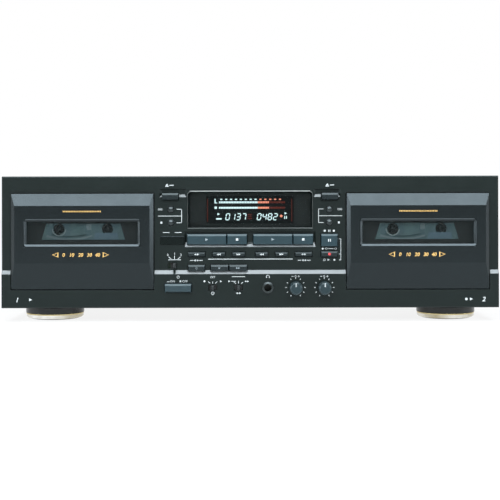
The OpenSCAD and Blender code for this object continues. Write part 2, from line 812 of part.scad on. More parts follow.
module feet() {
    seat_r = foot_r - ring_t - fit;
    color("#1a1c1e") for (f = FEET) translate([f[0], f[1], 0]) rotate_extrude()
        polygon([[0, 0], [seat_r - foot_edge, 0], [seat_r, foot_pad], [seat_r, foot_seat],
            [foot_r - foot_step, foot_seat], [foot_r, foot_seat + foot_step], [foot_r, z_base - foot_edge],
            [foot_r - foot_edge, z_base], [0, z_base]]);
}

// Ring with a sloped lower edge, drawn in slightly from the foot above it
module foot_rings() {
    slope = 1.2;
    draft = 0.3;
    face_r = foot_r - fit;
    color("#b08d3c") for (f = FEET) translate([f[0], f[1], 0]) rotate_extrude()
        polygon([[foot_r - ring_t, foot_pad], [face_r - draft - slope, foot_pad],
            [face_r - draft, foot_pad + slope], [face_r, foot_seat], [foot_r - ring_t, foot_seat]]);
}

module screw_profile(shank) {
    polygon([[0, -screw_head_h], [screw_head * 0.6, -screw_head_h], [screw_head, -screw_head_h * 0.4],
        [screw_head, 0], [screw_r, 0], [screw_r, shank], [0, shank]]);
}

module case_screws() {
    shank = 2 * cover_t + 2 * sheet_t + screw_past;
    color("#2a2d30") {
        for (s = [-1, 1], y = SIDE_SCREWS) translate([s * case_w / 2, y, z_base + screw_up])
            rotate([0, -s * 90, 0]) rotate_extrude() screw_profile(shank);
        for (x = REAR_SCREWS) translate([x, y_rear, z_base + screw_up])
            rotate([90, 0, 0]) rotate_extrude() screw_profile(shank);
    }
}

// Boards: margins of the control board, half width of a key switch, body of a slide switch and of the jack
board_side = 2;
board_foot = 2;
board_head = 4;
tact_half = 3;
slider_w = 6;
slider_h = 4;
jack_half = 7;
jack_h = 6;
tube_d = 9;
// Rotary control: depth, wall round its shaft, floor
pot_d = 8;
pot_wall = 5;
pot_floor = 0.6;

module pot_body(x) {
    difference() {
        rod_y(x, y_board - pot_d, y_board + lap, z_lower, shaft_r + pot_wall);
        rod_y(x, y_board - pot_d - past, y_board - pot_floor, z_lower, shaft_r + run_clear);
    }
}

module tact_switch(x, z) {
    box(x - tact_half, x + tact_half, y_board - switch_h, y_board + lap, z - tact_half, z + tact_half);
}

module control_board() {
    x = mid_half - board_side;
    tube_x = mid_k * tube_w / 2;
    tube_z0 = from_top(display_drop + display_h / 2 + tube_h / 2);
    tube_z1 = from_top(display_drop + display_h / 2 - tube_h / 2);
    box(-x, x, y_board, y_board + board_t, z_base + rim_t + board_foot, z_top - rim_t - board_head);
    for (k = KEYS) tact_switch(k[1], k[2]);
    for (c = COUNTERS) tact_switch(c[1], c[2]);
    for (s = SWITCHES)
        box(s[1] - s[5] - slider_w, s[1] + s[6] + slider_w, s[4] + flange_t + 2 * slide, y_board + lap,
            s[2] - slider_h, s[2] + slider_h);
    for (k = KNOBS) pot_body(k[1]);
    box(jack_x - jack_half, jack_x + jack_half, y_low - ring_out + phones_d + slide, y_board + lap,
        z_lower - jack_h, z_lower + jack_h);
    box(-tube_x, tube_x, y_board - tube_d, y_board + lap, tube_z0, tube_z1);
}

// Main board: its ends as shares of the tray, its room behind the motors and before the rear panel
main_left = 0.36;
main_right = 0.1;
main_front = 12;
main_rear = 26;
// Posts: in from the corners, radius
post_in = 8;
post_r = 3;
// Capacitors: first one, pitch, place, radius, heights
cap_first = 26;
cap_pitch = 24;
cap_back = 22;
cap_r = 7;
cap_h = 22;
cap_more = 4;
// Heat sink: place, length, thickness, height
sink_in = 20;
sink_l = 110;
sink_t = 12;
sink_h = 26;

module main_board() {
    x0 = -main_left * tray_w;
    x1 = main_right * tray_w;
    y0 = bridge_y + motor_l + main_front;
    y1 = y_rear - main_rear;
    z0 = z_floor + post_h;
    box(x0, x1, y0, y1, z0, z0 + board_t);
    for (x = [x0 + post_in, x1 - post_in], y = [y0 + post_in, y1 - post_in])
        translate([x, y, z_floor]) cylinder(h = post_h + lap, r = post_r);
    for (i = [0:4])
        translate([x0 + cap_first + i * cap_pitch, y1 - cap_back, z0])
            cylinder(h = cap_h + cap_more * (i % 2), r = cap_r);
    box(x0 + sink_in, x0 + sink_in + sink_l, y0 + sink_in, y0 + sink_in + sink_t, z0, z0 + sink_h);
}

module circuit_boards() {
    color("#2f5b3c") {
        control_board();
        main_board();
    }
}

// Transformer: place as a share of the tray, place from the rear, what its coil and flange add to the core
supply_share = 0.3;
supply_rear = 60;
coil_in = 10;
coil_out = 10;
coil_low = 8;
flange_out = 11;
flange_in = 2;
flange_h = 3;

module transformer() {
    w = transformer_w / 2;
    d = transformer_d / 2;
    color("#5a5d60") translate([supply_share * tray_w, y_rear - supply_rear, z_floor]) {
        box(-w - flange_out, w + flange_out, flange_in - d, d - flange_in, 0, flange_h);
        box(-w, w, -d, d, 0, transformer_h);
        box(coil_in - w, w - coil_in, -d - coil_out, d + coil_out, coil_low, transformer_h - coil_low);
    }
}

// Doors, each drawn about its own middle
function door_profile(inset, back) = [
    [back, door_z1 - inset],
    [y_up - door_edge + inset, door_z1 - inset],
    [y_up - door_out + inset, door_z1 - door_top_bevel - inset / 2],
    [y_up - door_out + inset, door_z0 + door_slope_h + inset / 2],
    [y_low + door_foot_in + inset, door_z0 + inset],
    [back, door_z0 + inset]];

function door_plan(inset, back) = let(w = door_w / 2 - inset) [
    [-w, back], [-w, y_up - door_edge + inset],
    [door_side_bevel - w, y_up - door_out + inset], [w - door_side_bevel, y_up - door_out + inset],
    [w, y_up - door_edge + inset], [w, back]];

module door_block(inset, back) {
    intersection() {
        along_x(-door_w / 2, door_w / 2) polygon(door_profile(inset, back));
        translate([0, 0, door_z0]) linear_extrude(door_h) polygon(door_plan(inset, back));
    }
}

// Channel that holds one stretch of a cassette's edge, on the right-hand side
carrier_x = cassette_w / 2 + cassette_fit;
carrier_y0 = cassette_y - cassette_body_t / 2 - cassette_fit;
carrier_y1 = cassette_y + cassette_body_t / 2 + cassette_fit;
carrier_back = carrier_y1 + carrier_t / 2;
// Gap between the carrier's shelf and the cassette's thick edge
shelf_gap = 1;

module carrier(z0, z1) {
    x0 = cassette_w / 2 - carrier_lip;
    difference() {
        box(x0, carrier_x + carrier_t, y_lens - lap, carrier_back, z0, z1);
        box(x0 - past, carrier_x, carrier_y0, carrier_y1, z0 - past, z1 + past);
    }
}

module carriers() {
    low = cassette_z0 - carrier_t;
    for (s = [0, 1]) mirror([s, 0, 0]) {
        carrier(low, low + carrier_l);
        carrier(cassette_z1 - carrier_l, cassette_z1);
        box(thick_w0 / 2 + shelf_gap, carrier_x + carrier_t, y_lens - lap, carrier_back, low, cassette_z0);
    }
}

module window_cut() {
    x = window_w / 2 + window_lip + fit;
    sloped_cut(window_w + 2 * window_bevel, window_z0 - window_bevel, window_z1 + window_bevel,
        y_up - door_out, y_lens, window_bevel, window_bevel, window_bevel);
    box(-window_w / 2, window_w / 2, y_up - door_out, y_lens + past, window_z0, window_z1);
    box(-x, x, y_lens, y_lens + window_t + fit,
        window_z0 - window_lip - fit, window_z1 + window_lip + fit);
}

module door() {
    color("#34393c") difference() {
        union() {
            difference() {
                door_block(0, y_up + door_rim);
                door_block(door_wall, y_up + door_rim + past);
            }
            intersection() {
                door_block(door_wall / 2, y_frame);
                carriers();
            }
            for (s = [0, 1]) mirror([s, 0, 0])
                rod_x(door_w / 2 - door_wall, door_w / 2 + hinge_len, y_hinge, z_hinge, hinge_r);
        }
        window_cut();
    }
}

module door_window() {
    color("#20262a")
        box(-window_w / 2 - window_lip, window_w / 2 + window_lip, y_lens, y_lens + window_t,
            window_z0 - window_lip, window_z1 + window_lip);
}

// Cassette: cut corners, length by which its capstan holes run down
shell_cut = 1.5;
guide_l = 3.6;

module shell_outline() {
    half = cassette_w / 2;
    polygon([
        [shell_cut - half, cassette_z0], [half - shell_cut, cassette_z0],
        [half, cassette_z0 + shell_cut], [half, cassette_z1 - shell_cut],
        [half - shell_cut, cassette_z1], [shell_cut - half, cassette_z1],
        [-half, cassette_z1 - shell_cut], [-half, cassette_z0 + shell_cut]]);
}

module thick_outline() {
    z1 = cassette_z0 + thick_h;
    polygon([[-thick_w0 / 2, cassette_z0], [thick_w0 / 2, cassette_z0],
        [thick_w1 / 2, z1], [-thick_w1 / 2, z1]]);
}

module cassette() {
    y0 = cassette_y - cassette_t / 2;
    y1 = cassette_y + cassette_t / 2;
    color("#8f979d") difference() {
        union() {
            along_y(cassette_y - cassette_body_t / 2, cassette_y + cassette_body_t / 2) shell_outline();
            along_y(y0, y1) thick_outline();
        }
        for (s = [-1, 1]) {
            rod_y(s * hub_spacing / 2, y0 - past, y1 + past, hub_z, hub_r);
            translate([s * capstan_spacing / 2, 0, 0]) {
                rod_y(0, cassette_y, y1 + past, capstan_z, guide_r);
                rod_y(0, cassette_y, y1 + past, capstan_z - guide_l, guide_r);
                box(-guide_r, guide_r, cassette_y, y1 + past, capstan_z - guide_l, capstan_z);
            }
        }
        box(-mouth_w / 2, mouth_w / 2, y0 + mouth_wall, y1 - mouth_wall,
            cassette_z0 - past, cassette_z0 + mouth_h);
    }
}

// Drive, each deck drawn about its door's middle
module mechanism_plate() {
    half = door_w / 2 - mech_in;
    bridge_end = bridge_y + mech_t;
    low = mech_z0 + mech_rim;
    high = mech_z1 - mech_rim;
    pillar_up = pillar_r + slide;
    difference() {
        union() {
            box(-half, half, y_mech, y_frame, mech_z0, mech_z1);
            for (s = [-1, 1], z = [low + pillar_up, high - pillar_up])
                rod_y(s * pillar_x, y_frame - lap, bridge_y + lap, z, pillar_r);
            box(-pillar_x - pillar_r, pillar_x + pillar_r, bridge_y, bridge_end, low, high);
        }
        for (s = [-1, 1]) {
            rod_y(s * hub_spacing / 2, y_mech - past, y_frame + past, hub_z, spindle_r + run_clear);
            rod_y(s * capstan_spacing / 2, y_mech - past, bridge_end + past, capstan_z,
                capstan_r + run_clear);
        }
        rod_y(-capstan_spacing / 2, bridge_y - past, bridge_end + past, motor_z, pulley_r / 2 + capstan_r);
        box(-capstan_spacing / 4, pillar_x - 3 * pillar_r, bridge_y - past, bridge_end + past,
            capstan_z + fly_r, high - 4 * pillar_r);
    }
}

module mechanism_plates() {
    color("#b4b8ba") for (s = [-1, 1]) translate([s * door_x, 0, 0]) mechanism_plate();
}

// Motor's bevelled end
motor_edge = 2;

module capstan_motors() {
    y0 = bridge_y + mech_t;
    color("#a8acae") for (s = [-1, 1]) translate([s * door_x - capstan_spacing / 2, 0, 0]) difference() {
        turned_y(0, y0, motor_z)
            polygon([[0, 0], [motor_r, 0], [motor_r, motor_l - motor_edge],
                [motor_r - motor_edge, motor_l], [0, motor_l]]);
        rod_y(0, y0 - past, y0 + motor_l / 2, motor_z, capstan_r + run_clear);
    }
}

module belt_loop(grow) {
    hull() {
        translate([0, capstan_z]) circle(fly_r + belt_gap + grow);
        translate([0, motor_z]) circle(pulley_r + belt_gap + grow);
    }
}

module drive_belts() {
    y0 = fly_y + (fly_t - belt_w) / 2;
    color("#1b1b1c") for (s = [-1, 1]) translate([s * door_x - capstan_spacing / 2, 0, 0])
        along_y(y0, y0 + belt_w) difference() {
            belt_loop(belt_t, $fn = 48);
            belt_loop(0, $fn = 48);
        }
}

// Flywheel: width of its rim, radius of its hub, depth of the recess, hub's reach before and behind
fly_rim = 4;
fly_hub = 4;
fly_recess = 1.5;
hub_front = 2;
hub_back = 1.5;

module flywheel() {
    back = bridge_y + mech_t - slide - fly_y;
    tip = capstan_tip - fly_y;
    web_r = fly_r - fly_rim;
    color("#c2b280") turned_y(0, fly_y, capstan_z)
        polygon([[0, tip], [capstan_r - fit, tip], [capstan_r, tip + 2 * fit], [capstan_r, -hub_front],
            [fly_hub, -hub_front], [fly_hub, fly_recess], [web_r, fly_recess], [web_r, 0],
            [fly_r, 0], [fly_r, fly_t], [web_r, fly_t], [web_r, fly_t - fly_recess],
            [fly_hub, fly_t - fly_recess], [fly_hub, fly_t + hub_back], [capstan_r, fly_t + hub_back],
            [capstan_r, back], [0, back]]);
}

// Motor pulley: lips beside the belt, slope of the lips, gap behind its shaft
lip_r = 1.2;
lip_slope = 0.6;
shaft_gap = 1;

module motor_pulley() {
    end = bridge_y + mech_t + motor_l / 2 - shaft_gap - fly_y;
    groove = (fly_t - belt_w) / 2 - slide;
    r = pulley_r + lip_r;
    color("#d0c060") turned_y(0, fly_y, motor_z)
        polygon([[0, 0], [r, 0], [r, groove - lip_slope], [pulley_r, groove], [pulley_r, fly_t - groove],
            [r, fly_t - groove + lip_slope], [r, fly_t], [capstan_r, fly_t], [capstan_r, end], [0, end]]);
}

// Spindle: nose, collar before the plate, fins, wheel behind the plate
nose_r = 1.2;
nose_l = 2;
collar_t = 2.2;
fin_out = 1.3;
fin_l = 6;
fin_t = 1.2;
reel_t = 2.6;

module spindle() {
    tip = cassette_y - cassette_body_t / 2 + edge - y_mech;
    collar = -slide - collar_t;
    collar_r = fin_r + fit;
    core_r = fin_r - fin_out;
    wheel = mech_t + slide;
    color("#e4e4dc") union() {
        turned_y(0, y_mech, hub_z)
            polygon([[0, tip], [core_r - nose_r, tip], [core_r, tip + nose_l], [core_r, collar],
                [collar_r, collar], [collar_r, -slide], [spindle_r, -slide], [spindle_r, wheel],
                [reel_r, wheel], [reel_r, wheel + reel_t], [0, wheel + reel_t]]);
        for (i = [0:2]) translate([0, y_mech, hub_z]) rotate([0, i * 120, 0])
            box(0, fin_r, collar - fin_l, collar + lap, -fin_t / 2, fin_t / 2);
    }
}

// Head carriage: gap to the plate, plate's thickness, its top below the cassette, head's reach and length
carriage_gap = 0.4;
carriage_t = 1.6;
carriage_low = 3;
shelf_t = 2;
head_in = 3.6;
head_l = 6.6;
head_round = 0.9;
// Roller's pin and bracket
roller_pin = 1.2;
bracket_half = 2;
bracket_t = 0.9;

module pinch_roller(y0, shelf) {
    back = y0 + head_l + roller_pin;
    rod_y(0, y0, y0 + head_l, roller_z, roller_r);
    rod_y(0, y0, back, roller_z, roller_pin);
    box(-bracket_half, bracket_half, back - bracket_t, back, shelf - lap, roller_z + roller_pin);
}

module head_carriage() {
    half = carriage_w / 2;
    y1 = y_mech - carriage_gap;
    y0 = cassette_y - head_in;
    head_top = cassette_z0 - slide;
    shelf = carriage_foot + shelf_t;
    round_r = head_w * head_round;
    color("#bfc3c6") union() {
        box(-half, half, y1 - carriage_t, y1, carriage_foot, cassette_z0 - carriage_low);
        box(-half, half, y0 - edge, y1, carriage_foot, shelf);
        intersection() {
            box(-head_w / 2, head_w / 2, y0, y0 + head_l, shelf - lap, head_top);
            rod_y(0, y0, y0 + head_l, head_top - round_r, round_r);
        }
        for (s = [-1, 1]) translate([s * capstan_spacing / 2, 0, 0]) pinch_roller(y0, shelf);
    }
}

// Keys: bevel along the top, its depth
key_bevel = 1.6;
key_depth = 1.2;

module push_key(k) {
    bevel = min(key_bevel, k[4] / 3);
    depth = min(key_depth, (k[6] - k[5]) / 3);
    z0 = k[2] - k[4] / 2;
    z1 = k[2] + k[4] / 2;
    y1 = k[6] + slide;
    stem = y_board - switch_h - k[7] - slide;
    color(k[5] == y_play ? "#4d5860" : "#3a3f43") translate([k[1], 0, 0]) {
        bevelled(k[3], z0, z1, k[5], y1 + lap, bevel, bevel / 3, bevel / 3, depth);
        box(-k[3] / 2, k[3] / 2, y1, y1 + flange_t, z0 - flange_up, z1 + flange_up);
        box(-stem_w, stem_w, y1 + flange_t - lap, stem, k[2] - stem_h, k[2] + stem_h);
    }
}

// Counter button: bevel, flange, stem
counter_bevel = 1.1;
counter_flange = 1;
counter_stem = 1.5;

module counter_button(c) {
    back = panel_t + small_out + slide;
    stem = y_board - switch_h - key_travel - slide - y_small;
    flange = counter_r + counter_flange;
    color("#3a3f43") turned_y(c[1], y_small, c[2])
        polygon([[0, 0], [counter_r - counter_bevel, 0], [counter_r, counter_bevel], [counter_r, back],
            [flange, back], [flange, back + flange_t], [counter_stem, back + flange_t],
            [counter_stem, stem], [0, stem]]);
}

// Lever: bevel's depth, flange's reach to each side
lever_depth = 0.8;
lever_flange = 2;

module switch_lever(s) {
    y1 = s[4] + slide;
    half = lever_w / 2 + lever_flange;
    z0 = s[2] - lever_h / 2;
    z1 = s[2] + lever_h / 2;
    color("#30353a") translate([s[1], 0, 0]) {
        bevelled(lever_w, z0, z1, s[3] - lever_out, y1 + lap, edge, edge, edge, lever_depth);
        box(-half, half, y1, y1 + flange_t, z0 - flange_up, z1 + flange_up);
    }
}

// Knob: gap to the panel, draft of its grip, bevel of its face, gap behind its shaft
knob_lift = 0.6;
knob_draft = 0.4;
knob_bevel = 0.8;
// Pointer groove: width, depth, start
groove_w = 1;
groove_d = 0.6;
groove_in = 1.5;

module knob(k) {
    y0 = y_low - knob_out;
    len = knob_out - knob_lift;
    shaft = y_board - shaft_gap - y0;
    face_r = knob_r - knob_draft;
    color("#59646b") difference() {
        turned_y(k[1], y0, z_lower)
            polygon([[0, 0], [face_r - knob_bevel, 0], [face_r, knob_bevel], [knob_r, len],
                [shaft_r, len], [shaft_r, shaft], [0, shaft]]);
        translate([k[1], 0, z_lower])
            box(-groove_w / 2, groove_w / 2, y0 - past, y0 + groove_d, groove_in, knob_r + past);
    }
}

front_panel();
display_window();
top_cover();
chassis_tray();
rear_panel();
rear_sockets();
socket_sleeves();
feet();
foot_rings();
case_screws();
circuit_boards();
transformer();
mechanism_plates();
capstan_motors();
drive_belts();
for (k = KEYS) push_key(k);
for (c = COUNTERS) counter_button(c);
for (s = SWITCHES) switch_lever(s);
for (k = KNOBS) knob(k);
for (i = [0, 1]) translate([(2 * i - 1) * door_x, 0, 0]) {
    door();
    door_window();
    cassette();
    head_carriage();
    translate([-hub_spacing / 2, 0, 0]) spindle();
    translate([hub_spacing / 2, 0, 0]) spindle();
    translate([-capstan_spacing / 2, 0, 0]) flywheel();
    translate([capstan_spacing / 2, 0, 0]) flywheel();
    translate([-capstan_spacing / 2, 0, 0]) motor_pulley();
}
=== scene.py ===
import json
import math

import bmesh
import bpy
from mathutils import Matrix, Vector


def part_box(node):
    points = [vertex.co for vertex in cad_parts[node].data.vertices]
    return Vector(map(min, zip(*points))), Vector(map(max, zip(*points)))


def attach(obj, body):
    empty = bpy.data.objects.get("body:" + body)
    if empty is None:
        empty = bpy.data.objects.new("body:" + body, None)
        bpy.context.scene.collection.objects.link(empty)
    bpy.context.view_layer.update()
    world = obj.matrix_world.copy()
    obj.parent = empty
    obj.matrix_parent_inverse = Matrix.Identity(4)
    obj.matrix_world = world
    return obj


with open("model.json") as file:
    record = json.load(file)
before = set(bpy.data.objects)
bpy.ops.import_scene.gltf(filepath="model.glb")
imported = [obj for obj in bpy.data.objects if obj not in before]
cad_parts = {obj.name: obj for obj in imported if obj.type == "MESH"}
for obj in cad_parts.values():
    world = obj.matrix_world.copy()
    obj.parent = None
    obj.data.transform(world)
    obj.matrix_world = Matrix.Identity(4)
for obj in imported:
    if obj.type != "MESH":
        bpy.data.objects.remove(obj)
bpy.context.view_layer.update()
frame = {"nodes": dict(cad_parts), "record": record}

nodes = frame["nodes"]
mm = 0.001
print("frame loaded,", len(nodes), "nodes")


def spotOf(node):  # middle of a node's front, in millimetres
    low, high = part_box(node)
    return (low[0] + high[0]) / 2 / mm, low[1] / mm, (low[2] + high[2]) / 2 / mm


# planes and centres that the dressing shares with the solids, in millimetres
doorX, doorFace = spotOf("door_b")[:2]
deck = {"upperFace": -123.5, "lowerFace": -126.0, "doorX": {"a": -doorX, "b": doorX}, "doorHalf": 62.1,
    "doorFace": doorFace, "lensFace": spotOf("door_window_a")[1], "hubX": 21.25, "hubZ": 80.6}


# node helpers, and node groups shared by the finishes


def feed(socket, value):  # links a socket, or sets it
    if isinstance(value, bpy.types.NodeSocket):
        socket.id_data.links.new(value, socket)
    elif value is not None:
        socket.default_value = (*value, 1.0) if socket.type == "RGBA" else value


def addNode(tree, kind, inputs=(), **settings):
    node = tree.nodes.new(kind)
    for key, value in settings.items():
        setattr(node, key, value)
    for key, value in dict(inputs).items():
        feed(node.inputs[key], value)
    return node


def mathNode(tree, operation, a, b=None, clamp=False):
    return addNode(tree, "ShaderNodeMath", {0: a, 1: b}, operation=operation, use_clamp=clamp).outputs[0]


def noiseNode(tree, place, scale, detail, rough):
    inputs = {"Vector": place, "Scale": scale, "Detail": detail, "Roughness": rough}
    return addNode(tree, "ShaderNodeTexNoise", inputs).outputs[0]


def rangeNode(tree, value, low, high, fromLow=0.0, fromHigh=1.0):
    inputs = {"Value": value, "From Min": fromLow, "From Max": fromHigh, "To Min": low, "To Max": high}
    return addNode(tree, "ShaderNodeMapRange", inputs).outputs["Result"]


def mixColour(tree, factor, a, b):
    return addNode(tree, "ShaderNodeMix", {0: factor, 6: a, 7: b}, data_type="RGBA").outputs[2]


def useGroup(tree, group, **inputs):
    return addNode(tree, "ShaderNodeGroup", inputs, node_tree=group).outputs


def openGroup(kind, name, inputs, outputs):  # sockets by label, the inputs with their defaults
    tree = bpy.data.node_groups.new(name, kind + "NodeTree")
    for label, (socketKind, value) in inputs.items():
        socket = tree.interface.new_socket(label, in_out="INPUT", socket_type="NodeSocket" + socketKind)
        if value is not None:
            socket.default_value = value
    for label, socketKind in outputs.items():
        tree.interface.new_socket(label, in_out="OUTPUT", socket_type="NodeSocket" + socketKind)
    return tree, addNode(tree, "NodeGroupInput").outputs, addNode(tree, "NodeGroupOutput").inputs


placeSocket = {"Place": ("Vector", None)}


def makeMouldGrain():  # spark-eroded grain of moulded plastic and sprayed paint
    tree, inside, outside = openGroup("Shader", "mouldGrain", {**placeSocket, "Scale": ("Float", 1500.0)},
                                      {"Height": "Float"})
    place, scale = inside["Place"], inside["Scale"]
    cells = addNode(tree, "ShaderNodeTexVoronoi", {"Vector": place, "Scale": scale}).outputs["Distance"]
    fine = noiseNode(tree, place, mathNode(tree, "MULTIPLY", scale, 2.3), 3.0, 0.6)
    broad = mathNode(tree, "MULTIPLY", cells, 0.7)
    feed(outside["Height"], mathNode(tree, "ADD", broad, mathNode(tree, "MULTIPLY", fine, 0.6)))
    return tree


def makeHandling():  # broad tone drift, and smears where hands go
    tree, inside, outside = openGroup("Shader", "handling", {**placeSocket, "Scale": ("Float", 18.0)},
                                      {"Tone": "Float", "Smear": "Float"})
    place, scale = inside["Place"], inside["Scale"]
    tone = noiseNode(tree, place, scale, 4.0, 0.55)
    smear = noiseNode(tree, place, mathNode(tree, "MULTIPLY", scale, 3.1), 6.0, 0.7)
    feed(outside["Tone"], rangeNode(tree, tone, 0.0, 1.0, 0.3, 0.7))
    feed(outside["Smear"], rangeNode(tree, smear, 0.0, 1.0, 0.35, 0.7))
    return tree


def makeEdgeWear():  # rubbed edges, where the rounded normal leaves the flat one
    normals = {"Rounded": ("Vector", None), "Flat": ("Vector", None)}
    tree, inside, outside = openGroup("Shader", "edgeWear", {**normals, **placeSocket}, {"Mask": "Float"})
    inputs = {0: inside["Rounded"], 1: inside["Flat"]}
    dot = addNode(tree, "ShaderNodeVectorMath", inputs, operation="DOT_PRODUCT").outputs["Value"]
    bend = rangeNode(tree, dot, 1.0, 0.0, 0.72, 0.985)
    patch = rangeNode(tree, noiseNode(tree, inside["Place"], 90.0, 3.0, 0.6), 0.25, 1.0, 0.35, 0.65)
    feed(outside["Mask"], mathNode(tree, "MULTIPLY", bend, patch, True))
    return tree


def makeBrushLines():  # drawn lines of brushed or turned metal
    sockets = {**placeSocket, "Stretch": ("Vector", (30.0, 2500.0, 2500.0))}
    tree, inside, outside = openGroup("Shader", "brushLines", sockets, {"Line": "Float"})
    inputs = {0: inside["Place"], 1: inside["Stretch"]}
    drawn = addNode(tree, "ShaderNodeVectorMath", inputs, operation="MULTIPLY").outputs[0]
    feed(outside["Line"], noiseNode(tree, drawn, 1.0, 4.0, 0.6))
    return tree


mouldGrain, handling = makeMouldGrain(), makeHandling()
edgeWear, brushLines = makeEdgeWear(), makeBrushLines()
print("node groups made")

finishes = {}
plainSockets = {"metal": "Metallic", "gloss": "Specular IOR Level", "sheen": "Specular Tint",
    "alpha": "Alpha", "glow": "Emission Strength"}


def openMaterial(name, **plain):  # plain values are the same all over
    mat = bpy.data.materials.new(name)
    mat.use_nodes = True
    finishes[name] = mat
    tree = mat.node_tree
    tree.nodes.clear()
    inputs = {plainSockets[key]: value for key, value in plain.items()}
    shader = addNode(tree, "ShaderNodeBsdfPrincipled", inputs)
    addNode(tree, "ShaderNodeOutputMaterial", {0: shader.outputs[0]}, name="out")
    return tree, shader, addNode(tree, "ShaderNodeTexCoord").outputs["Object"]


def addFinish(name, colour, shade, rough, bevel=0.35, grain=0.5, grainDepth=0.02, grainScale=1500.0,
              drift=18.0, edge=None, split=None, lines=None, **plain):  # grain or lines, smears, worn edges
    tree, shader, place = openMaterial(name, **plain)
    hands = useGroup(tree, handling, Place=place, Scale=drift)
    tone = mixColour(tree, hands["Tone"], colour, shade)
    rounded = addNode(tree, "ShaderNodeBevel", {"Radius": bevel * mm}, samples=4).outputs[0]
    if edge:
        flat = addNode(tree, "ShaderNodeNewGeometry").outputs["Normal"]
        wear = useGroup(tree, edgeWear, Rounded=rounded, Flat=flat, Place=place)
        tone = mixColour(tree, wear["Mask"], tone, edge)
    if split:  # another colour past a plane square to one axis
        axis, side, limit, beyond = split
        parts = addNode(tree, "ShaderNodeSeparateXYZ", {0: place}).outputs
        tone = mixColour(tree, mathNode(tree, side, parts[axis], limit * mm), tone, beyond)
    if lines:
        height = useGroup(tree, brushLines, Place=place, Stretch=lines)["Line"]
        polish = rangeNode(tree, height, *rough, 0.3, 0.7)
    else:
        height = useGroup(tree, mouldGrain, Place=place, Scale=grainScale)["Height"]
        polish = rangeNode(tree, hands["Smear"], *rough)
    inputs = {"Strength": grain, "Distance": grainDepth * mm, "Height": height, "Normal": rounded}
    bump = addNode(tree, "ShaderNodeBump", inputs).outputs[0]
    for label, value in (("Base Color", tone), ("Roughness", polish), ("Normal", bump)):
        feed(shader.inputs[label], value)


lens = {"colour": (0.003, 0.0048, 0.005), "shade": (0.0022, 0.0038, 0.004), "rough": (0.06, 0.11),
    "drift": 25.0, "alpha": 0.36, "sheen": (0.8, 0.98, 0.99)}


def addLens(name, gloss):  # smoked see-through lens with faint smears
    tree, shader, place = openMaterial(name, gloss=gloss, alpha=lens["alpha"], sheen=lens["sheen"])
    hands = useGroup(tree, handling, Place=place, Scale=lens["drift"])
    feed(shader.inputs["Base Color"], mixColour(tree, hands["Tone"], lens["colour"], lens["shade"]))
    feed(shader.inputs["Roughness"], rangeNode(tree, hands["Smear"], *lens["rough"]))
    finishes[name].surface_render_method = "BLENDED"


phosphor = {"grid": 900.0, "gridDepth": 0.6, "body": (0.02, 0.02, 0.02), "rough": 0.6}


def addGlow(name, lit, dim, glow):  # lit phosphor under a fine wire grid
    tree, shader, place = openMaterial(name, glow=glow)
    grid = addNode(tree, "ShaderNodeTexWave", {"Vector": place, "Scale": phosphor["grid"]}).outputs["Fac"]
    share = rangeNode(tree, grid, 0.0, 1.0, 0.0, phosphor["gridDepth"])
    feed(shader.inputs["Emission Color"], mixColour(tree, share, dim, lit))
    feed(shader.inputs["Base Color"], phosphor["body"])
    feed(shader.inputs["Roughness"], phosphor["rough"])


# finishes of the solids: colour, its shade, range of roughness, then what isn't as usual
coolSheen = (0.84, 0.96, 1.0)
doorLook = dict(colour=(0.003, 0.005, 0.0052), shade=(0.0024, 0.004, 0.0042), rough=(0.2, 0.26),
    grain=0.4, grainDepth=0.005, edge=(0.026, 0.034, 0.037), sheen=(0.78, 0.92, 1.0))
keyLook = dict(grain=0.4, grainDepth=0.006, sheen=coolSheen)
steelLook = dict(grain=0.3, grainDepth=0.006, metal=1.0)
sheetLook = dict(drift=6.0, grainScale=900.0, edge=(0.06, 0.064, 0.065))
addFinish("panel_plastic", (0.005, 0.0084, 0.0072), (0.004, 0.0068, 0.0058), (0.32, 0.39), grain=0.6,
    grainDepth=0.01, edge=(0.022, 0.028, 0.028), gloss=0.3, sheen=coolSheen)
addFinish("door_plastic", **doorLook, gloss=0.45)
addFinish("cover_paint", (0.014, 0.016, 0.016), (0.012, 0.014, 0.014), (0.46, 0.52), grain=0.9,
    grainDepth=0.06, **sheetLook)
addFinish("rear_paint", (0.014, 0.016, 0.016), (0.011, 0.013, 0.013), (0.44, 0.52), grain=0.8,
    grainDepth=0.05, **sheetLook)
addFinish("zinc_steel", (0.5, 0.51, 0.5), (0.4, 0.42, 0.41), (0.28, 0.5), grain=0.25, grainScale=260.0,
    drift=60.0, metal=1.0)
addFinish("socket_plastic", (0.016, 0.017, 0.017), (0.012, 0.013, 0.013), (0.35, 0.5),
    edge=(0.05, 0.05, 0.05))
addFinish("socket_metal", (0.78, 0.58, 0.24), (0.68, 0.49, 0.19), (0.16, 0.26), grain=0.2, metal=1.0,
    split=("Y", "LESS_THAN", 0.0, (0.04, 0.048, 0.046)))
# the lighter colour above z 10.8 mm is a painted highlight along the top edge of the feet
addFinish("foot_plastic", (0.008, 0.011, 0.011), (0.006, 0.008, 0.008), (0.18, 0.28), grain=0.3,
    gloss=0.42, edge=(0.05, 0.056, 0.054), split=("Z", "GREATER_THAN", 10.8, (0.14, 0.16, 0.155)))
addFinish("foot_gold", (0.96, 0.955, 0.93), (0.46, 0.41, 0.28), (0.06, 0.15), grain=0.2, grainDepth=0.003,
    drift=34.0, lines=(60.0, 60.0, 6000.0), metal=1.0,
    split=("Z", "GREATER_THAN", 3.9, (0.58, 0.49, 0.27)))
addFinish("black_screw", (0.03, 0.03, 0.032), (0.02, 0.02, 0.021), (0.3, 0.45), bevel=0.2,
    edge=(0.25, 0.25, 0.25), metal=0.7)
addFinish("board", (0.01, 0.036, 0.018), (0.008, 0.028, 0.014), (0.3, 0.5), grainScale=500.0)
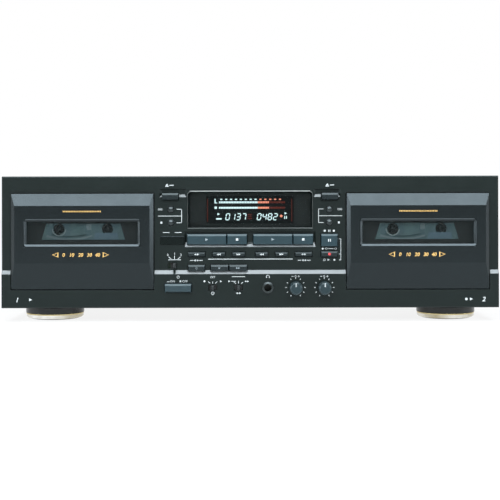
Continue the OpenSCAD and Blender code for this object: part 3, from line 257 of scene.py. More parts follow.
addFinish("transformer_iron", (0.16, 0.16, 0.17), (0.11, 0.11, 0.12), (0.4, 0.6),
    lines=(30.0, 1800.0, 30.0), metal=0.8)
addFinish("motor_steel", (0.55, 0.56, 0.57), (0.45, 0.46, 0.47), (0.22, 0.38), **steelLook,
    lines=(40.0, 3000.0, 40.0))
addFinish("belt_rubber", (0.012, 0.012, 0.012), (0.02, 0.02, 0.02), (0.6, 0.8))
addFinish("play_key", (0.0118, 0.0292, 0.0375), (0.009, 0.0237, 0.0304), (0.27, 0.36),
    edge=(0.07, 0.1, 0.12), gloss=0.52, **keyLook)
addFinish("small_key", (0.006, 0.0098, 0.0108), (0.0046, 0.0079, 0.0089), (0.25, 0.34),
    edge=(0.04, 0.052, 0.06), gloss=0.45, **keyLook)
addFinish("button_plastic", (0.0162, 0.0315, 0.0387), (0.0126, 0.0252, 0.0315), (0.25, 0.34),
    edge=(0.07, 0.095, 0.11), gloss=0.52, **keyLook)
addFinish("knob_plastic", (0.01, 0.023, 0.0275), (0.0075, 0.018, 0.022), (0.27, 0.36), bevel=0.4,
    edge=(0.08, 0.11, 0.125), gloss=0.52, **keyLook)
addFinish("lever_plastic", (0.012, 0.016, 0.017), (0.009, 0.012, 0.013), (0.3, 0.42),
    edge=(0.06, 0.07, 0.075))
addFinish("cassette_shell", (0.014, 0.02, 0.024), (0.011, 0.016, 0.019), (0.25, 0.38),
    edge=(0.05, 0.06, 0.065))
addFinish("spindle_plastic", (0.022, 0.032, 0.034), (0.017, 0.025, 0.027), (0.35, 0.5),
    edge=(0.06, 0.075, 0.08))
addFinish("carriage_steel", (0.52, 0.53, 0.54), (0.44, 0.45, 0.46), (0.25, 0.42), **steelLook,
    lines=(20.0, 2500.0, 2500.0))
addFinish("flywheel_metal", (0.62, 0.54, 0.36), (0.54, 0.46, 0.29), (0.2, 0.36), grain=0.25,
    grainDepth=0.005, lines=(900.0, 20.0, 900.0), metal=1.0)
addFinish("pulley_metal", (0.66, 0.55, 0.25), (0.58, 0.47, 0.2), (0.18, 0.32), grain=0.25,
    grainDepth=0.004, lines=(60.0, 3500.0, 60.0), metal=1.0)
addLens("smoked_window", 0.46)
addLens("display_lens", 0.0)

slotOf = {part["node"]: part["material_slot"] for part in frame["record"]["subparts"]}
finishOf = {**slotOf, "display_window": "display_lens"}
for node in slotOf:
    if node.startswith(("eject", "counter")):
        finishOf[node] = "small_key"
    mesh = nodes[node].data
    mesh.materials.clear()
    mesh.materials.append(finishes[finishOf[node]])
print("finishes set on the solids:", len(slotOf))

# finishes of the dressing
inkLook = dict(bevel=0.05, grain=0.3)
trimAndHighlightLook = dict(grain=0.3, grainDepth=0.006, metal=0.3)
addFinish("whiteInk", (0.5, 0.53, 0.54), (0.42, 0.45, 0.46), (0.45, 0.6), **inkLook)
addFinish("greyInk", (0.22, 0.26, 0.28), (0.17, 0.21, 0.23), (0.45, 0.6), **inkLook)
addFinish("redInk", (0.62, 0.045, 0.05), (0.52, 0.03, 0.035), (0.4, 0.55), **inkLook)
addFinish("goldInk", (0.72, 0.46, 0.16), (0.6, 0.36, 0.11), (0.38, 0.5), bevel=0.05, grain=0.4,
    metal=0.35)
# silver of the trim strip, also used for the painted highlight on the ledge under the play keys
addFinish("silverTrimAndHighlight", (0.186, 0.2, 0.207), (0.16, 0.174, 0.181), (0.34, 0.5), bevel=0.2,
    lines=(25.0, 2200.0, 2200.0), **trimAndHighlightLook)
# light grey for the slopes of the eject scoops: a painted highlight
addFinish("scoopHighlight", (0.15, 0.163, 0.17), (0.125, 0.137, 0.143), (0.34, 0.5), bevel=0.1, **trimAndHighlightLook)
# grey of the display rim, lighter than the panel: a painted highlight
addFinish("bezelHighlightGrey", (0.1, 0.112, 0.109), (0.085, 0.096, 0.093), (0.22, 0.3), bevel=0.1, grain=0.2,
    gloss=0.65)
# dark smoked colour of the sensor lens, darkened further as painted shade inside the sensor's recess
addFinish("sensorSmokeAndShade", (0.0036, 0.006, 0.0054), (0.0028, 0.0047, 0.0042), (0.16, 0.26), grain=0.1,
    gloss=0.17, sheen=coolSheen)
addFinish("lipGloss", (0.012, 0.015, 0.015), (0.009, 0.012, 0.012), (0.2, 0.28), bevel=0.05, grain=0.1,
    gloss=0.6, sheen=coolSheen)
addFinish("frameLip", **doorLook, bevel=0.08, gloss=0.6)
addFinish("darkLens", (0.028, 0.034, 0.033), (0.024, 0.029, 0.028), (0.3, 0.36), bevel=0.3, grain=0.1,
    gloss=0.2)
addFinish("maskPaint", (0.04, 0.048, 0.046), (0.035, 0.043, 0.041), (0.6, 0.8), bevel=0.05, grain=0.2)
addFinish("wireBlackAndRecessShade", (0.006, 0.006, 0.006), (0.004, 0.004, 0.004), (0.6, 0.8), bevel=0.05)
addFinish("shellWindow", (0.2, 0.33, 0.37), (0.17, 0.29, 0.32), (0.12, 0.22), grain=0.1, drift=70.0)
addFinish("tapePack", (0.23, 0.385, 0.4), (0.19, 0.33, 0.34), (0.18, 0.3), grain=0.2, drift=90.0)
addFinish("hubPale", (0.5, 0.62, 0.62), (0.42, 0.54, 0.54), (0.3, 0.45))
addFinish("curveDark", (0.11, 0.2, 0.22), (0.09, 0.165, 0.18), (0.2, 0.3))
addFinish("curvePale", (0.36, 0.49, 0.52), (0.3, 0.42, 0.45), (0.2, 0.3))
addFinish("liner", (0.24, 0.39, 0.49), (0.21, 0.35, 0.44), (0.2, 0.3))
addFinish("labelPaper", (0.022, 0.026, 0.028), (0.017, 0.02, 0.022), (0.5, 0.65), grainScale=900.0)
addFinish("ringWhite", (0.62, 0.62, 0.6), (0.54, 0.54, 0.52), (0.3, 0.45))
addFinish("ringRed", (0.46, 0.02, 0.02), (0.38, 0.015, 0.015), (0.3, 0.45))
addGlow("coldGlow", (0.76, 0.98, 1.0), (0.58, 0.9, 0.95), 3.1)
addGlow("warmGlow", (1.0, 0.38, 0.25), (0.94, 0.27, 0.16), 2.75)
addGlow("faintGlow", (0.3, 0.045, 0.022), (0.2, 0.024, 0.012), 1.0)
print("finishes in all:", len(finishes))

# mesh helpers: outlines are in x and z, depths in y, all in millimetres, and pieces face -y

work = bmesh.new()  # the piece in hand, which closePiece empties


def scaled(*sizes):
    return tuple(size * mm for size in sizes)


def standing(outline, y):
    return [(x, y, z) for x, z in outline]


def bridge(loops, closed=True, smooth=False):  # walls between equal loops, closed on themselves or capped
    verts = [[work.verts.new(scaled(*point)) for point in loop] for loop in loops]
    for here, there in zip(verts, verts[1:] + verts[:1] * closed):
        for i in range(len(here)):
            work.faces.new((here[i - 1], here[i], there[i], there[i - 1])).smooth = smooth
    if not closed:
        work.faces.new(verts[0])
        work.faces.new(verts[-1][::-1])


def addPrisms(outlines, depth):
    for outline in outlines:
        bridge([standing(outline, y) for y in depth], False)


def barLoop(x0, x1, z0, z1):
    return [(x0, z0), (x1, z0), (x1, z1), (x0, z1)]


def circleLoop(cx, cz, r, steps=28, start=0.0, sweep=360.0):
    count = steps if sweep == 360.0 else steps + 1
    angles = [math.radians(start + sweep * i / steps) for i in range(count)]
    return [(cx + r * math.sin(a), cz + r * math.cos(a)) for a in angles]


def roundedLoop(cx, cz, w, h, r, steps=5):
    loop = []
    for sx, sz, start in ((1, 1, 0), (1, -1, 90), (-1, -1, 180), (-1, 1, 270)):
        loop += circleLoop(cx + sx * (w / 2 - r), cz + sz * (h / 2 - r), r, steps, start, 90.0)
    return loop


def ringLoops(outer, inner, first=0):  # the band between two loops, as four-sided outlines
    return [[outer[i - 1], outer[i], inner[i], inner[i - 1]] for i in range(first, len(outer))]


def arcLoops(cx, cz, r, width, start=0.0, sweep=360.0, steps=20):
    outer, inner = [circleLoop(cx, cz, r + d, steps, start, sweep) for d in (width / 2, -width / 2)]
    return ringLoops(outer, inner, 0 if sweep == 360.0 else 1)


def show(name, data):
    shown = bpy.data.objects.new(name, data)
    bpy.context.scene.collection.objects.link(shown)
    return shown


def takeMesh(holder, matrix):  # moves an object's evaluated mesh into the piece in hand
    ready = holder.evaluated_get(bpy.context.evaluated_depsgraph_get())
    mesh = bpy.data.meshes.new_from_object(ready)
    holder.modifiers.clear()
    bpy.data.objects.remove(holder)
    mesh.transform(matrix)
    clean = bmesh.new()
    clean.from_mesh(mesh)
    bmesh.ops.remove_doubles(clean, verts=clean.verts, dist=1e-7)
    clean.to_mesh(mesh)
    clean.free()
    work.from_mesh(mesh)
    bpy.data.meshes.remove(mesh)


def addFlat(curve, cx, cz, depth):  # a filled flat curve, stood up to face the front
    curve.extrude = (depth[1] - depth[0]) / 2 * mm
    place = Matrix.Translation(scaled(cx, sum(depth) / 2, cz))
    takeMesh(show("flatWork", curve), place @ Matrix.Rotation(math.pi / 2, 4, "X"))
    bpy.data.curves.remove(curve)


def addSheet(loops, depth):  # flat sheet whose later loops are holes in the first
    curve = bpy.data.curves.new("flatSheet", "CURVE")
    curve.dimensions = "2D"
    curve.fill_mode = "BOTH"
    for loop in loops:
        spline = curve.splines.new("POLY")
        spline.points.add(len(loop) - 1)
        for point, (x, z) in zip(spline.points, loop):
            point.co = (*scaled(x, z), 0.0, 1.0)
        spline.use_cyclic_u = True
    addFlat(curve, 0.0, 0.0, depth)


digitShare = 0.73  # height of a digit in shares of the font's size


def addNumerals(text, cx, cz, height, depth, slant=0.0, bold=0.0):
    curve = bpy.data.curves.new("numerals", "FONT")
    curve.body = text
    curve.size = height / digitShare * mm
    curve.shear = slant
    curve.offset = bold * mm
    curve.align_x = "CENTER"
    curve.resolution_u = 3
    addFlat(curve, cx, cz - height / 2, depth)


sharpAngle = 0.6  # edges that bend more than this are softened


def closePiece(name, finish, body="chassis", soften=0.0):
    bmesh.ops.recalc_face_normals(work, faces=work.faces)
    if soften:
        sharp = [e for e in work.edges if len(e.link_faces) == 2 and e.calc_face_angle() > sharpAngle]
        bmesh.ops.bevel(
            work, geom=sharp, offset=soften * mm, segments=2, affect="EDGES", clamp_overlap=True)
    mesh = bpy.data.meshes.new(name)
    work.to_mesh(mesh)
    work.clear()
    mesh.materials.append(finishes[finish])
    piece = show(name, mesh)
    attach(piece, body)


# geometry trees for what repeats

barSockets = {"Bar": ("Vector", (mm, mm, mm)), "Finish": ("Material", None)}


def closeTree(tree, inside, outside, points, turn=None):  # a bar on each point, as plain mesh
    bar = addNode(tree, "GeometryNodeMeshCube", {"Size": inside["Bar"]}).outputs["Mesh"]
    inputs = {"Points": points, "Instance": bar, "Rotation": turn}
    bars = addNode(tree, "GeometryNodeInstanceOnPoints", inputs).outputs["Instances"]
    real = addNode(tree, "GeometryNodeRealizeInstances", {"Geometry": bars}).outputs["Geometry"]
    inputs = {"Geometry": real, "Material": inside["Finish"]}
    feed(outside["Geometry"], addNode(tree, "GeometryNodeSetMaterial", inputs).outputs["Geometry"])
    return tree


def combineNode(tree, **parts):
    return addNode(tree, "ShaderNodeCombineXYZ", parts).outputs[0]


def makeBarRow():  # bars side by side along x, centred
    inputs = {"Count": ("Int", 10), "Pitch": ("Float", 0.002), **barSockets}
    tree, inside, outside = openGroup("Geometry", "barRow", inputs, {"Geometry": "Geometry"})
    count, pitch = inside["Count"], inside["Pitch"]
    half = mathNode(tree, "MULTIPLY", mathNode(tree, "SUBTRACT", count, 1.0), -0.5)
    start = combineNode(tree, X=mathNode(tree, "MULTIPLY", half, pitch))
    inputs = {"Count": count, "Start Location": start, "Offset": combineNode(tree, X=pitch)}
    return closeTree(tree, inside, outside, addNode(tree, "GeometryNodeMeshLine", inputs).outputs["Mesh"])


def makeBarRing():  # bars set radially round y, from a start angle, step by step
    inputs = {"Count": ("Int", 11), "Radius": ("Float", 0.008), "Start": ("Float", 0.0),
              "Step": ("Float", 0.5), **barSockets}
    tree, inside, outside = openGroup("Geometry", "barRing", inputs, {"Geometry": "Geometry"})
    line = addNode(tree, "GeometryNodeMeshLine", {"Count": inside["Count"]}).outputs["Mesh"]
    index = addNode(tree, "GeometryNodeInputIndex").outputs[0]
    angle = mathNode(tree, "ADD", mathNode(tree, "MULTIPLY", index, inside["Step"]), inside["Start"])
    waves = [mathNode(tree, wave, angle) for wave in ("SINE", "COSINE")]
    x, z = [mathNode(tree, "MULTIPLY", wave, inside["Radius"]) for wave in waves]
    inputs = {"Geometry": line, "Position": combineNode(tree, X=x, Z=z)}
    spread = addNode(tree, "GeometryNodeSetPosition", inputs).outputs["Geometry"]
    turn = addNode(tree, "FunctionNodeEulerToRotation", {0: combineNode(tree, Y=angle)}).outputs[0]
    return closeTree(tree, inside, outside, spread, turn)


barRow, barRing = makeBarRow(), makeBarRing()


def grow(tree, spot, turn, bars, finish, **values):  # runs a tree once, and adds its mesh at a spot
    values.update(Count=bars["count"], Bar=scaled(*bars["bar"]), Finish=finishes[finish])
    host = show("growing", bpy.data.meshes.new("growing"))
    modifier = host.modifiers.new("grow", "NODES")
    modifier.node_group = tree
    for item in tree.interface.items_tree:
        if item.in_out == "INPUT":
            modifier[item.identifier] = values[item.name]
    takeMesh(host, Matrix.Translation(scaled(*spot)) @ Matrix.Rotation(turn, 4, "Z"))


def addRow(spot, row, finish):
    grow(barRow, spot, 0.0, row, finish, Pitch=row["pitch"] * mm)


def addRing(spot, ring, finish, turn=0.0):  # all the way round, unless the ring has its own step
    step = ring.get("step", math.tau / ring["count"])
    grow(barRing, spot, turn, ring, finish, Radius=ring["radius"] * mm, Start=ring["start"], Step=step)


print("helpers ready")

# light sheets that lie on slopes of the panel: a silver trim strip, and painted highlights on the ledge
# under the play keys and in the eject scoops


def addSlope(outline, slope):  # sheet on a slope; outlines are x and the share of the way up
    (y, z), (yHigh, zHigh) = slope["low"], slope["high"]
    run, rise = yHigh - y, zHigh - z
    lift = slope["thick"] / math.hypot(run, rise)
    bridge([[(x, y + run * share - k * rise, z + rise * share + k * run) for x, share in outline]
            for k in (lift, 0.0)], False)


stripEnd = deck["doorX"]["b"] + deck["doorHalf"] + 0.9  # clear of the door
# the strip breaks from x -67.1 to -65.1 under the noise lever: a painted shadow and reflection of the lever
# on the strip
strip = {"spans": [(-216.7, -stripEnd), (-83.4, -67.1), (-65.1, 83.4), (stripEnd, 216.7)],
    "low": (-126.0, 41.3), "high": (-123.5, 44.8), "thick": 0.35, "shares": (0.03, 0.97),
    "keyCuts": [(-54.7, -39.1), (-35.0, -2.2)], "cutShare": 0.62}
foot, top = strip["shares"]
for x0, x1 in strip["spans"]:
    outline = [(x0, foot), (x0, top)]
    for c0, c1 in strip["keyCuts"]:  # cut away under the lower keys
        if x0 < c0 and c1 < x1:
            outline += [(c0, top), (c0, strip["cutShare"]), (c1, strip["cutShare"]), (c1, top)]
    addSlope(outline + [(x1, top), (x1, foot)], strip)
closePiece("silverStrip", "silverTrimAndHighlight", soften=0.08)

# light sheet on the ledge under the play keys, a painted highlight of the lit slope that stops lower at the
# middle, where the slope above is in shade; its outline given for one half
keyLedge = {"low": (-123.5, 64.8), "high": (-121.7, 69.3), "thick": 0.12,
    "half": [(2.35, 0.6), (2.35, 0.42), (55.4, 0.42), (55.4, 0.95), (56.2, 0.95), (57.2, 0.04)]}
addSlope([(-x, share) for x, share in keyLedge["half"][::-1]] + keyLedge["half"], keyLedge)
closePiece("keyLedge", "silverTrimAndHighlight")

# light sheets on the slopes of the eject scoops, beside each button: a painted highlight where the slopes
# catch the light
scoop = {"low": (-123.5, 108.5), "high": (-121.75, 111.1), "thick": 0.1,
    "inner": [(55.65, 0.04), (57.15, 0.96), (61.95, 0.96), (61.95, 0.04)],
    "outer": [(77.1, 0.04), (77.1, 0.95), (79.0, 0.04)]}
for s in (-1, 1):
    for outline in (scoop["inner"], scoop["outer"]):
        addSlope([(s * x, share) for x, share in outline], scoop)
closePiece("scoopLedgeHighlights", "scoopHighlight")

# rim round the display window, whose shape catches the light, in a grey lighter than the panel that adds a
# painted highlight: rows are the inset and how far in front of the base
bezel = {"half": 54.7, "low": 81.0, "high": 114.3, "cut": 2.2, "sides": 0.35, "mitre": 0.41,
    "base": -124.7, "rows": [(0.0, -0.05), (0.0, 0.1), (0.76, 0.8), (0.95, 0.8), (0.95, -0.05)]}


def bezelLoop(inset):
    x, z0, z1 = bezel["half"] - inset * bezel["sides"], bezel["low"] + inset, bezel["high"] - inset
    cut = bezel["cut"] - inset * bezel["mitre"]
    return [(-x, z0), (x, z0), (x, z1 - cut), (x - cut, z1), (cut - x, z1), (-x, z1 - cut)]


bridge([standing(bezelLoop(inset), bezel["base"] - lift) for inset, lift in bezel["rows"]])
closePiece("displayRim", "bezelHighlightGrey")

# sensor lens left of the play keys, with a brow over it; the lens's dark colour also paints the shade
# inside the sensor's recess

sensor = {"box": (-68.15, 70.35, 21.1, 7.1), "corner": 1.0, "proud": 0.45, "sink": 0.1, "brow": 0.55,
    "browProud": 0.5, "gap": 0.1}
x, z, w, h = sensor["box"]
r, face = sensor["corner"], deck["upperFace"]
addPrisms([roundedLoop(x, z, w, h, r)], (face - sensor["proud"], face + sensor["sink"]))
closePiece("sensorLens", "sensorSmokeAndShade", soften=0.2)
low = z + h / 2 + sensor["gap"]
high = low + sensor["brow"]
brow = [(x - w / 2, low), (x + w / 2, low), (x + w / 2 - r, high), (x - w / 2 + r, high)]
addPrisms([brow], (face - sensor["browProud"], face + sensor["sink"]))
closePiece("sensorBrow", "small_key", soften=0.12)
print("strip and sensor made")

# printed lines and signs on the panel

ink = {"lift": 0.07, "sink": 0.05, "line": 0.5}


def inkDepth(face):
    return face - ink["lift"], face + ink["sink"]


def arrowLoop(x=0.0, w=1.0, s=1):  # one high, pointing right, or left with s = -1
    return [(x - s * w / 2, -0.5), (x + s * w / 2, 0.0), (x - s * w / 2, 0.5)]


signShapes = {  # outlines in shares of a sign's size
    "play": [arrowLoop()],
    "back": [arrowLoop(s=-1)],
    "forward": [arrowLoop(-0.5), arrowLoop(0.5)],
    "rewind": [arrowLoop(-0.5, s=-1), arrowLoop(0.5, s=-1)],
    "both": [arrowLoop(-0.75, 0.8, -1), arrowLoop(0.75, 0.8), barLoop(-0.35, 0.35, -0.09, 0.09)],
    "stop": [barLoop(-0.5, 0.5, -0.5, 0.5)],
    "pause": [barLoop(-0.48, -0.16, -0.5, 0.5), barLoop(0.16, 0.48, -0.5, 0.5)],
    "record": [circleLoop(0.0, 0.0, 0.5, 20)],
    "ring": arcLoops(0.0, 0.0, 0.43, 0.14),
    "eject": [[(-0.55, -0.18), (0.55, -0.18), (0.0, 0.5)], barLoop(-0.55, 0.55, -0.5, -0.28)],
    "power": [*arcLoops(0.0, 0.0, 0.42, 0.15, 35.0, 290.0), barLoop(-0.075, 0.075, 0.05, 0.62)],
    "clock": [*arcLoops(0.0, 0.0, 0.45, 0.13), barLoop(-0.06, 0.06, -0.02, 0.34),
              barLoop(-0.02, 0.26, -0.06, 0.06)],
    "phones": [*arcLoops(0.0, -0.1, 0.46, 0.12, -95.0, 190.0), barLoop(-0.59, -0.33, -0.55, -0.12),
               barLoop(0.33, 0.59, -0.55, -0.12)],
    "plus": [barLoop(-0.5, 0.5, -0.12, 0.12), barLoop(-0.12, 0.12, -0.5, 0.5)],
    "minus": [barLoop(-0.5, 0.5, -0.12, 0.12)],
}


def addSign(sign, cx, cz, size, depth):
    addPrisms([[(cx + x * size, cz + z * size) for x, z in loop] for loop in signShapes[sign]], depth)


def strokeLoop(x0, z0, x1, z1, width=ink["line"]):
    share = width / 2 / math.hypot(x1 - x0, z1 - z0)
    nx, nz = (z0 - z1) * share, (x1 - x0) * share
    return [(x0 + nx, z0 + nz), (x1 + nx, z1 + nz), (x1 - nx, z1 - nz), (x0 - nx, z0 - nz)]


def addMarks(depth, signs=(), numerals=(), bars=(), strokes=()):
    for mark in signs:
        addSign(*mark, depth)
    for mark in numerals:
        addNumerals(*mark, depth)
    addPrisms([barLoop(*mark) for mark in bars], depth)
    addPrisms([strokeLoop(*mark) for mark in strokes], depth)


upperPrint = {
    "signs": [("eject", -72.6, 119.1, 2.7), ("eject", 67.6, 119.1, 2.7), ("record", 65.2, 79.0, 1.9),
        ("pause", 69.2, 79.0, 1.9), ("record", 73.2, 79.0, 1.9), ("record", 63.4, 63.4, 1.7),
        ("ring", 66.6, 63.4, 1.9), ("ring", 74.6, 63.4, 1.9), ("ring", 65.0, 53.6, 2.0),
        ("play", 68.6, 53.6, 1.7), ("record", 73.6, 53.6, 1.7), ("both", -47.0, 53.3, 1.9),
        ("both", 47.2, 53.3, 1.9), ("stop", -77.6, 86.3, 1.7), ("stop", 77.6, 86.3, 1.7)],
    "numerals": [("000", -78.6, 98.0, 2.0), ("000", 78.4, 98.0, 2.0), ("0", -72.0, 58.3, 2.1),
        ("1", -66.1, 59.3, 2.1), ("2", -60.4, 58.3, 2.1)],
    "bars": [(-70.4, -66.6, 118.7, 119.4), (69.8, 73.6, 118.7, 119.4), (-64.2, -59.6, 97.85, 98.35),
        (-64.2, -59.6, 86.0, 86.5), (-60.1, -59.6, 86.0, 98.35), (-80.6, -60.1, 91.9, 92.4),
        (59.6, 64.2, 97.85, 98.35), (59.6, 64.2, 86.0, 86.5), (59.6, 60.1, 86.0, 98.35),
        (60.1, 80.6, 91.9, 92.4), (-76.4, -70.4, 77.5, 78.0), (-65.9, -59.9, 77.5, 78.0),
        (68.4, 72.8, 63.2, 63.6), (79.0, 79.5, 53.3, 72.2), (77.6, 79.0, 71.7, 72.2),
        (77.6, 79.0, 53.3, 53.8), (77.6, 79.0, 58.5, 59.0), (-36.7, 37.2, 54.1, 54.7),
        (-52.6, -49.6, 53.0, 53.6), (-44.4, -41.4, 53.0, 53.6), (41.6, 44.6, 53.0, 53.6),
        (49.8, 52.8, 53.0, 53.6)],
    "strokes": [(-71.2, 56.4, -68.9, 54.4), (-66.1, 57.4, -66.1, 54.6), (-61.0, 56.4, -63.3, 54.4),
        (-71.6, 53.9, -60.6, 53.9)],
}
addMarks(inkDepth(deck["upperFace"]), **upperPrint)
closePiece("upperPrint", "whiteInk")

lowerPrint = {
    "signs": [("power", -62.8, 39.0, 2.6), ("stop", -60.9, 35.3, 1.5), ("record", -39.9, 35.2, 1.7),
        ("play", -25.4, 35.2, 1.8), ("clock", -32.7, 24.8, 2.8), ("play", -18.2, 35.2, 1.7),
        ("both", -3.0, 35.2, 1.6), ("both", -10.2, 24.8, 1.9), ("phones", 15.4, 39.6, 2.7),
        ("minus", 36.9, 39.4, 1.8), ("plus", 42.3, 39.4, 1.8), ("minus", 61.9, 39.4, 1.8),
        ("plus", 67.3, 39.4, 1.8), ("play", -191.5, 19.4, 2.6), ("record", 188.5, 19.4, 2.3),
        ("play", 193.0, 19.4, 2.6)],
    "numerals": [("ON", -67.8, 35.3, 2.0), ("OFF", -56.9, 35.3, 2.0), ("OFF", -32.7, 38.9, 1.9),
        ("0", 39.6, 39.4, 2.2), ("0", 64.6, 39.4, 2.2)],
    "bars": [(-72.4, -70.4, 34.6, 35.2), (-16.0, -4.4, 39.0, 39.5), (-16.4, -12.6, 34.9, 35.4)],
    "strokes": [(-36.6, 35.0, -34.9, 33.4), (-32.7, 35.0, -32.7, 33.3), (-28.8, 35.0, -30.5, 33.4),
        (-14.1, 34.4, -12.4, 33.2), (-10.2, 35.6, -10.2, 33.3), (-6.3, 34.4, -8.0, 33.2)],
}
depth = inkDepth(deck["lowerFace"])
addMarks(depth, **lowerPrint)
closePiece("lowerPrint", "whiteInk")

corner = {"marks": [("1", -203.6), ("2", 203.6)], "z": 19.4, "height": 4.0, "slant": 0.25, "bold": 0.12}
for text, x in corner["marks"]:
    addNumerals(text, x, corner["z"], corner["height"], depth, corner["slant"], corner["bold"])
closePiece("deckNumbers", "whiteInk")

dial = {"x": (39.6, 64.6), "z": 29.7, "lift": 0.01, "count": 11, "radius": 8.2,
    "start": math.radians(-150.0), "step": math.radians(30.0), "bar": (0.6, 0.12, 1.15)}
for x in dial["x"]:
    addRing((x, deck["lowerFace"] - dial["lift"], dial["z"]), dial, "whiteInk")
closePiece("dialTicks", "whiteInk")

lips = {"around": 40, "phones": (15.4, 29.7), "counterX": (-69.2, 69.2), "counterZ": (97.8, 86.5),
    "wire": 0.3, "radius": 2.95, "across": 10,
    "phonesRing": [(3.35, -127.3), (3.35, -128.1), (5.0, -127.62), (5.15, -127.3)]}


def addTurned(x, z, profile, closed=True, smooth=False):  # radius and y, turned about an axis to the front
    bridge([standing(circleLoop(x, z, r, lips["around"]), y) for r, y in profile], closed, smooth)


addTurned(*lips["phones"], lips["phonesRing"])
closePiece("phonesLip", "lipGloss")
wire = [(r, y) for y, r in circleLoop(deck["upperFace"], lips["radius"], lips["wire"], lips["across"])]
for x in lips["counterX"]:
    for z in lips["counterZ"]:
        addTurned(x, z, wire, smooth=True)
closePiece("countersLip", "lipGloss")
print("panel prints and lips made")

# signs on the keys, each riding on its own key; a pair of keys shares the start of its name

keySigns = {"play_key": ("play", 2.5, "greyInk"), "stop_key": ("stop", 2.1, "whiteInk"),
    "rewind_key": ("rewind", 1.8, "whiteInk"), "forward_key": ("forward", 1.8, "whiteInk"),
    "direction_key": ("both", 1.8, "whiteInk"), "tape_select_key": ("ring", 1.9, "greyInk"),
    "dub_normal_key": ("play", 1.7, "greyInk"), "dub_high_key": ("forward", 1.7, "greyInk"),
    "record_pause_key": ("pause", 2.4, "whiteInk"), "record_mute_key": ("record", 2.3, "redInk")}
for start, (sign, size, finish) in keySigns.items():
    for key in [node for node in slotOf if node.startswith(start)]:
        x, y, z = spotOf(key)
        addSign(sign, x, z, size, inkDepth(y))
        closePiece(key + "_sign", finish, key)

cap = {"profile": [(0.75, 0.0), (2.3, 0.46), (2.35, 1.1)], "lift": 0.6}  # coned caps on counter buttons
for button in [node for node in slotOf if node.startswith("counter")]:
    x, y, z = spotOf(button)
    addTurned(x, z, [(r, y - cap["lift"] + d) for r, d in cap["profile"]], False)
    closePiece(button + "_cap", "lipGloss", button)

grip = {"count": 3, "pitch": 0.66, "bar": (0.35, 0.5, 3.0)}  # raised bars on the lever tips
for lever in ("noise_switch", "timer_switch", "reverse_switch"):
    addRow(spotOf(lever), grip, "lever_plastic")
    closePiece(lever + "_grip", "lever_plastic", lever)

flutes = {"count": 30, "radius": 5.38, "start": 0.0, "bar": (0.5, 10.2, 0.5), "back": 6.6}
pointer = {"half": 0.45, "from": 1.5, "to": 4.8, "depth": (0.1, 0.6)}
for knob in ("bias_knob", "level_knob"):
    x, y, z = spotOf(knob)
    addRing((x, y + flutes["back"], z), flutes, "knob_plastic")
    closePiece(knob + "_flutes", "knob_plastic", knob)
    addPrisms([barLoop(x - pointer["half"], x + pointer["half"], z + pointer["from"], z + pointer["to"])],
              [y + d for d in pointer["depth"]])
    closePiece(knob + "_pointer", "whiteInk", knob, soften=0.1)
print("keys, levers and knobs dressed")

# display tube, and what glows on it

tube = {"outline": (0.0, 97.4, 77.8, 24.8, 1.0), "depth": (-117.3, -117.0)}
addPrisms([roundedLoop(*tube["outline"])], tube["depth"])
closePiece("tubeGlass", "darkLens", soften=0.1)
mask = {"outline": (0.0, 97.7, 111.2, 34.6, 2.0), "view": (-38.4, 38.4, 85.4, 109.4),
    "depth": (-120.5, -120.1)}
addSheet([roundedLoop(*mask["outline"]), barLoop(*mask["view"])], mask["depth"])
closePiece("displayMask", "maskPaint")

# level bars: finish, how many, how many before them, and pitch, bar and heights of their kind
meter = {"face": -117.3, "proud": 0.3, "sink": 0.05, "left": -27.4}
levelBars = (1.42, (1.18, 0.3, 1.6), (103.9, 99.1))
levelTicks = (4.3, (1.8, 0.3, 1.0), (106.5,))
levels = {"coldBars": ("coldGlow", 24, 0, *levelBars), "warmBars": ("warmGlow", 7, 24, *levelBars),
    "faintBars": ("faintGlow", 10, 31, *levelBars), "coldTicks": ("coldGlow", 8, 0, *levelTicks),
    "warmTicks": ("warmGlow", 5, 8, *levelTicks)}
for name, (finish, count, before, pitch, bar, heights) in levels.items():
    for z in heights:
        spot = (meter["left"] + (before + count / 2) * pitch, meter["face"] - meter["proud"] / 2, z)
        addRow(spot, {"count": count, "pitch": pitch, "bar": bar}, finish)
    closePiece(name, finish)

counter = {"texts": [("0137", -12.5), ("0482", 15.1)], "z": 91.2, "pitch": 4.75, "width": 3.0,
    "height": 5.4, "stroke": 0.78, "gap": 0.18, "slant": 0.16}
segments = {"a": (-1, 1, 1, 1), "b": (1, 1, 1, 0), "c": (1, 0, 1, -1), "d": (-1, -1, 1, -1),
    "e": (-1, 0, -1, -1), "f": (-1, 1, -1, 0), "g": (-1, 0, 1, 0)}
digitParts = {"0": "abcdef", "1": "bc", "2": "abged", "3": "abgcd", "4": "fgbc", "7": "abc",
    "8": "abcdefg"}


def addDigit(digit, cx, depth):
    w, h, t = counter["width"] / 2, counter["height"] / 2, counter["stroke"]
    for part in digitParts[digit]:
        x0, z0, x1, z1 = segments[part]
        p, q = Vector((x0 * w, z0 * h)), Vector((x1 * w, z1 * h))
        along = (q - p).normalized()
        side = Vector((-along.y, along.x)) * t / 2
        tip = along * t / 2
        p, q = p + along * t * counter["gap"], q - along * t * counter["gap"]
        loop = [p, p + tip + side, q - tip + side, q, q - tip - side, p + tip - side]
        addPrisms([[(cx + v.x + counter["slant"] * v.y, counter["z"] + v.y) for v in loop]], depth)


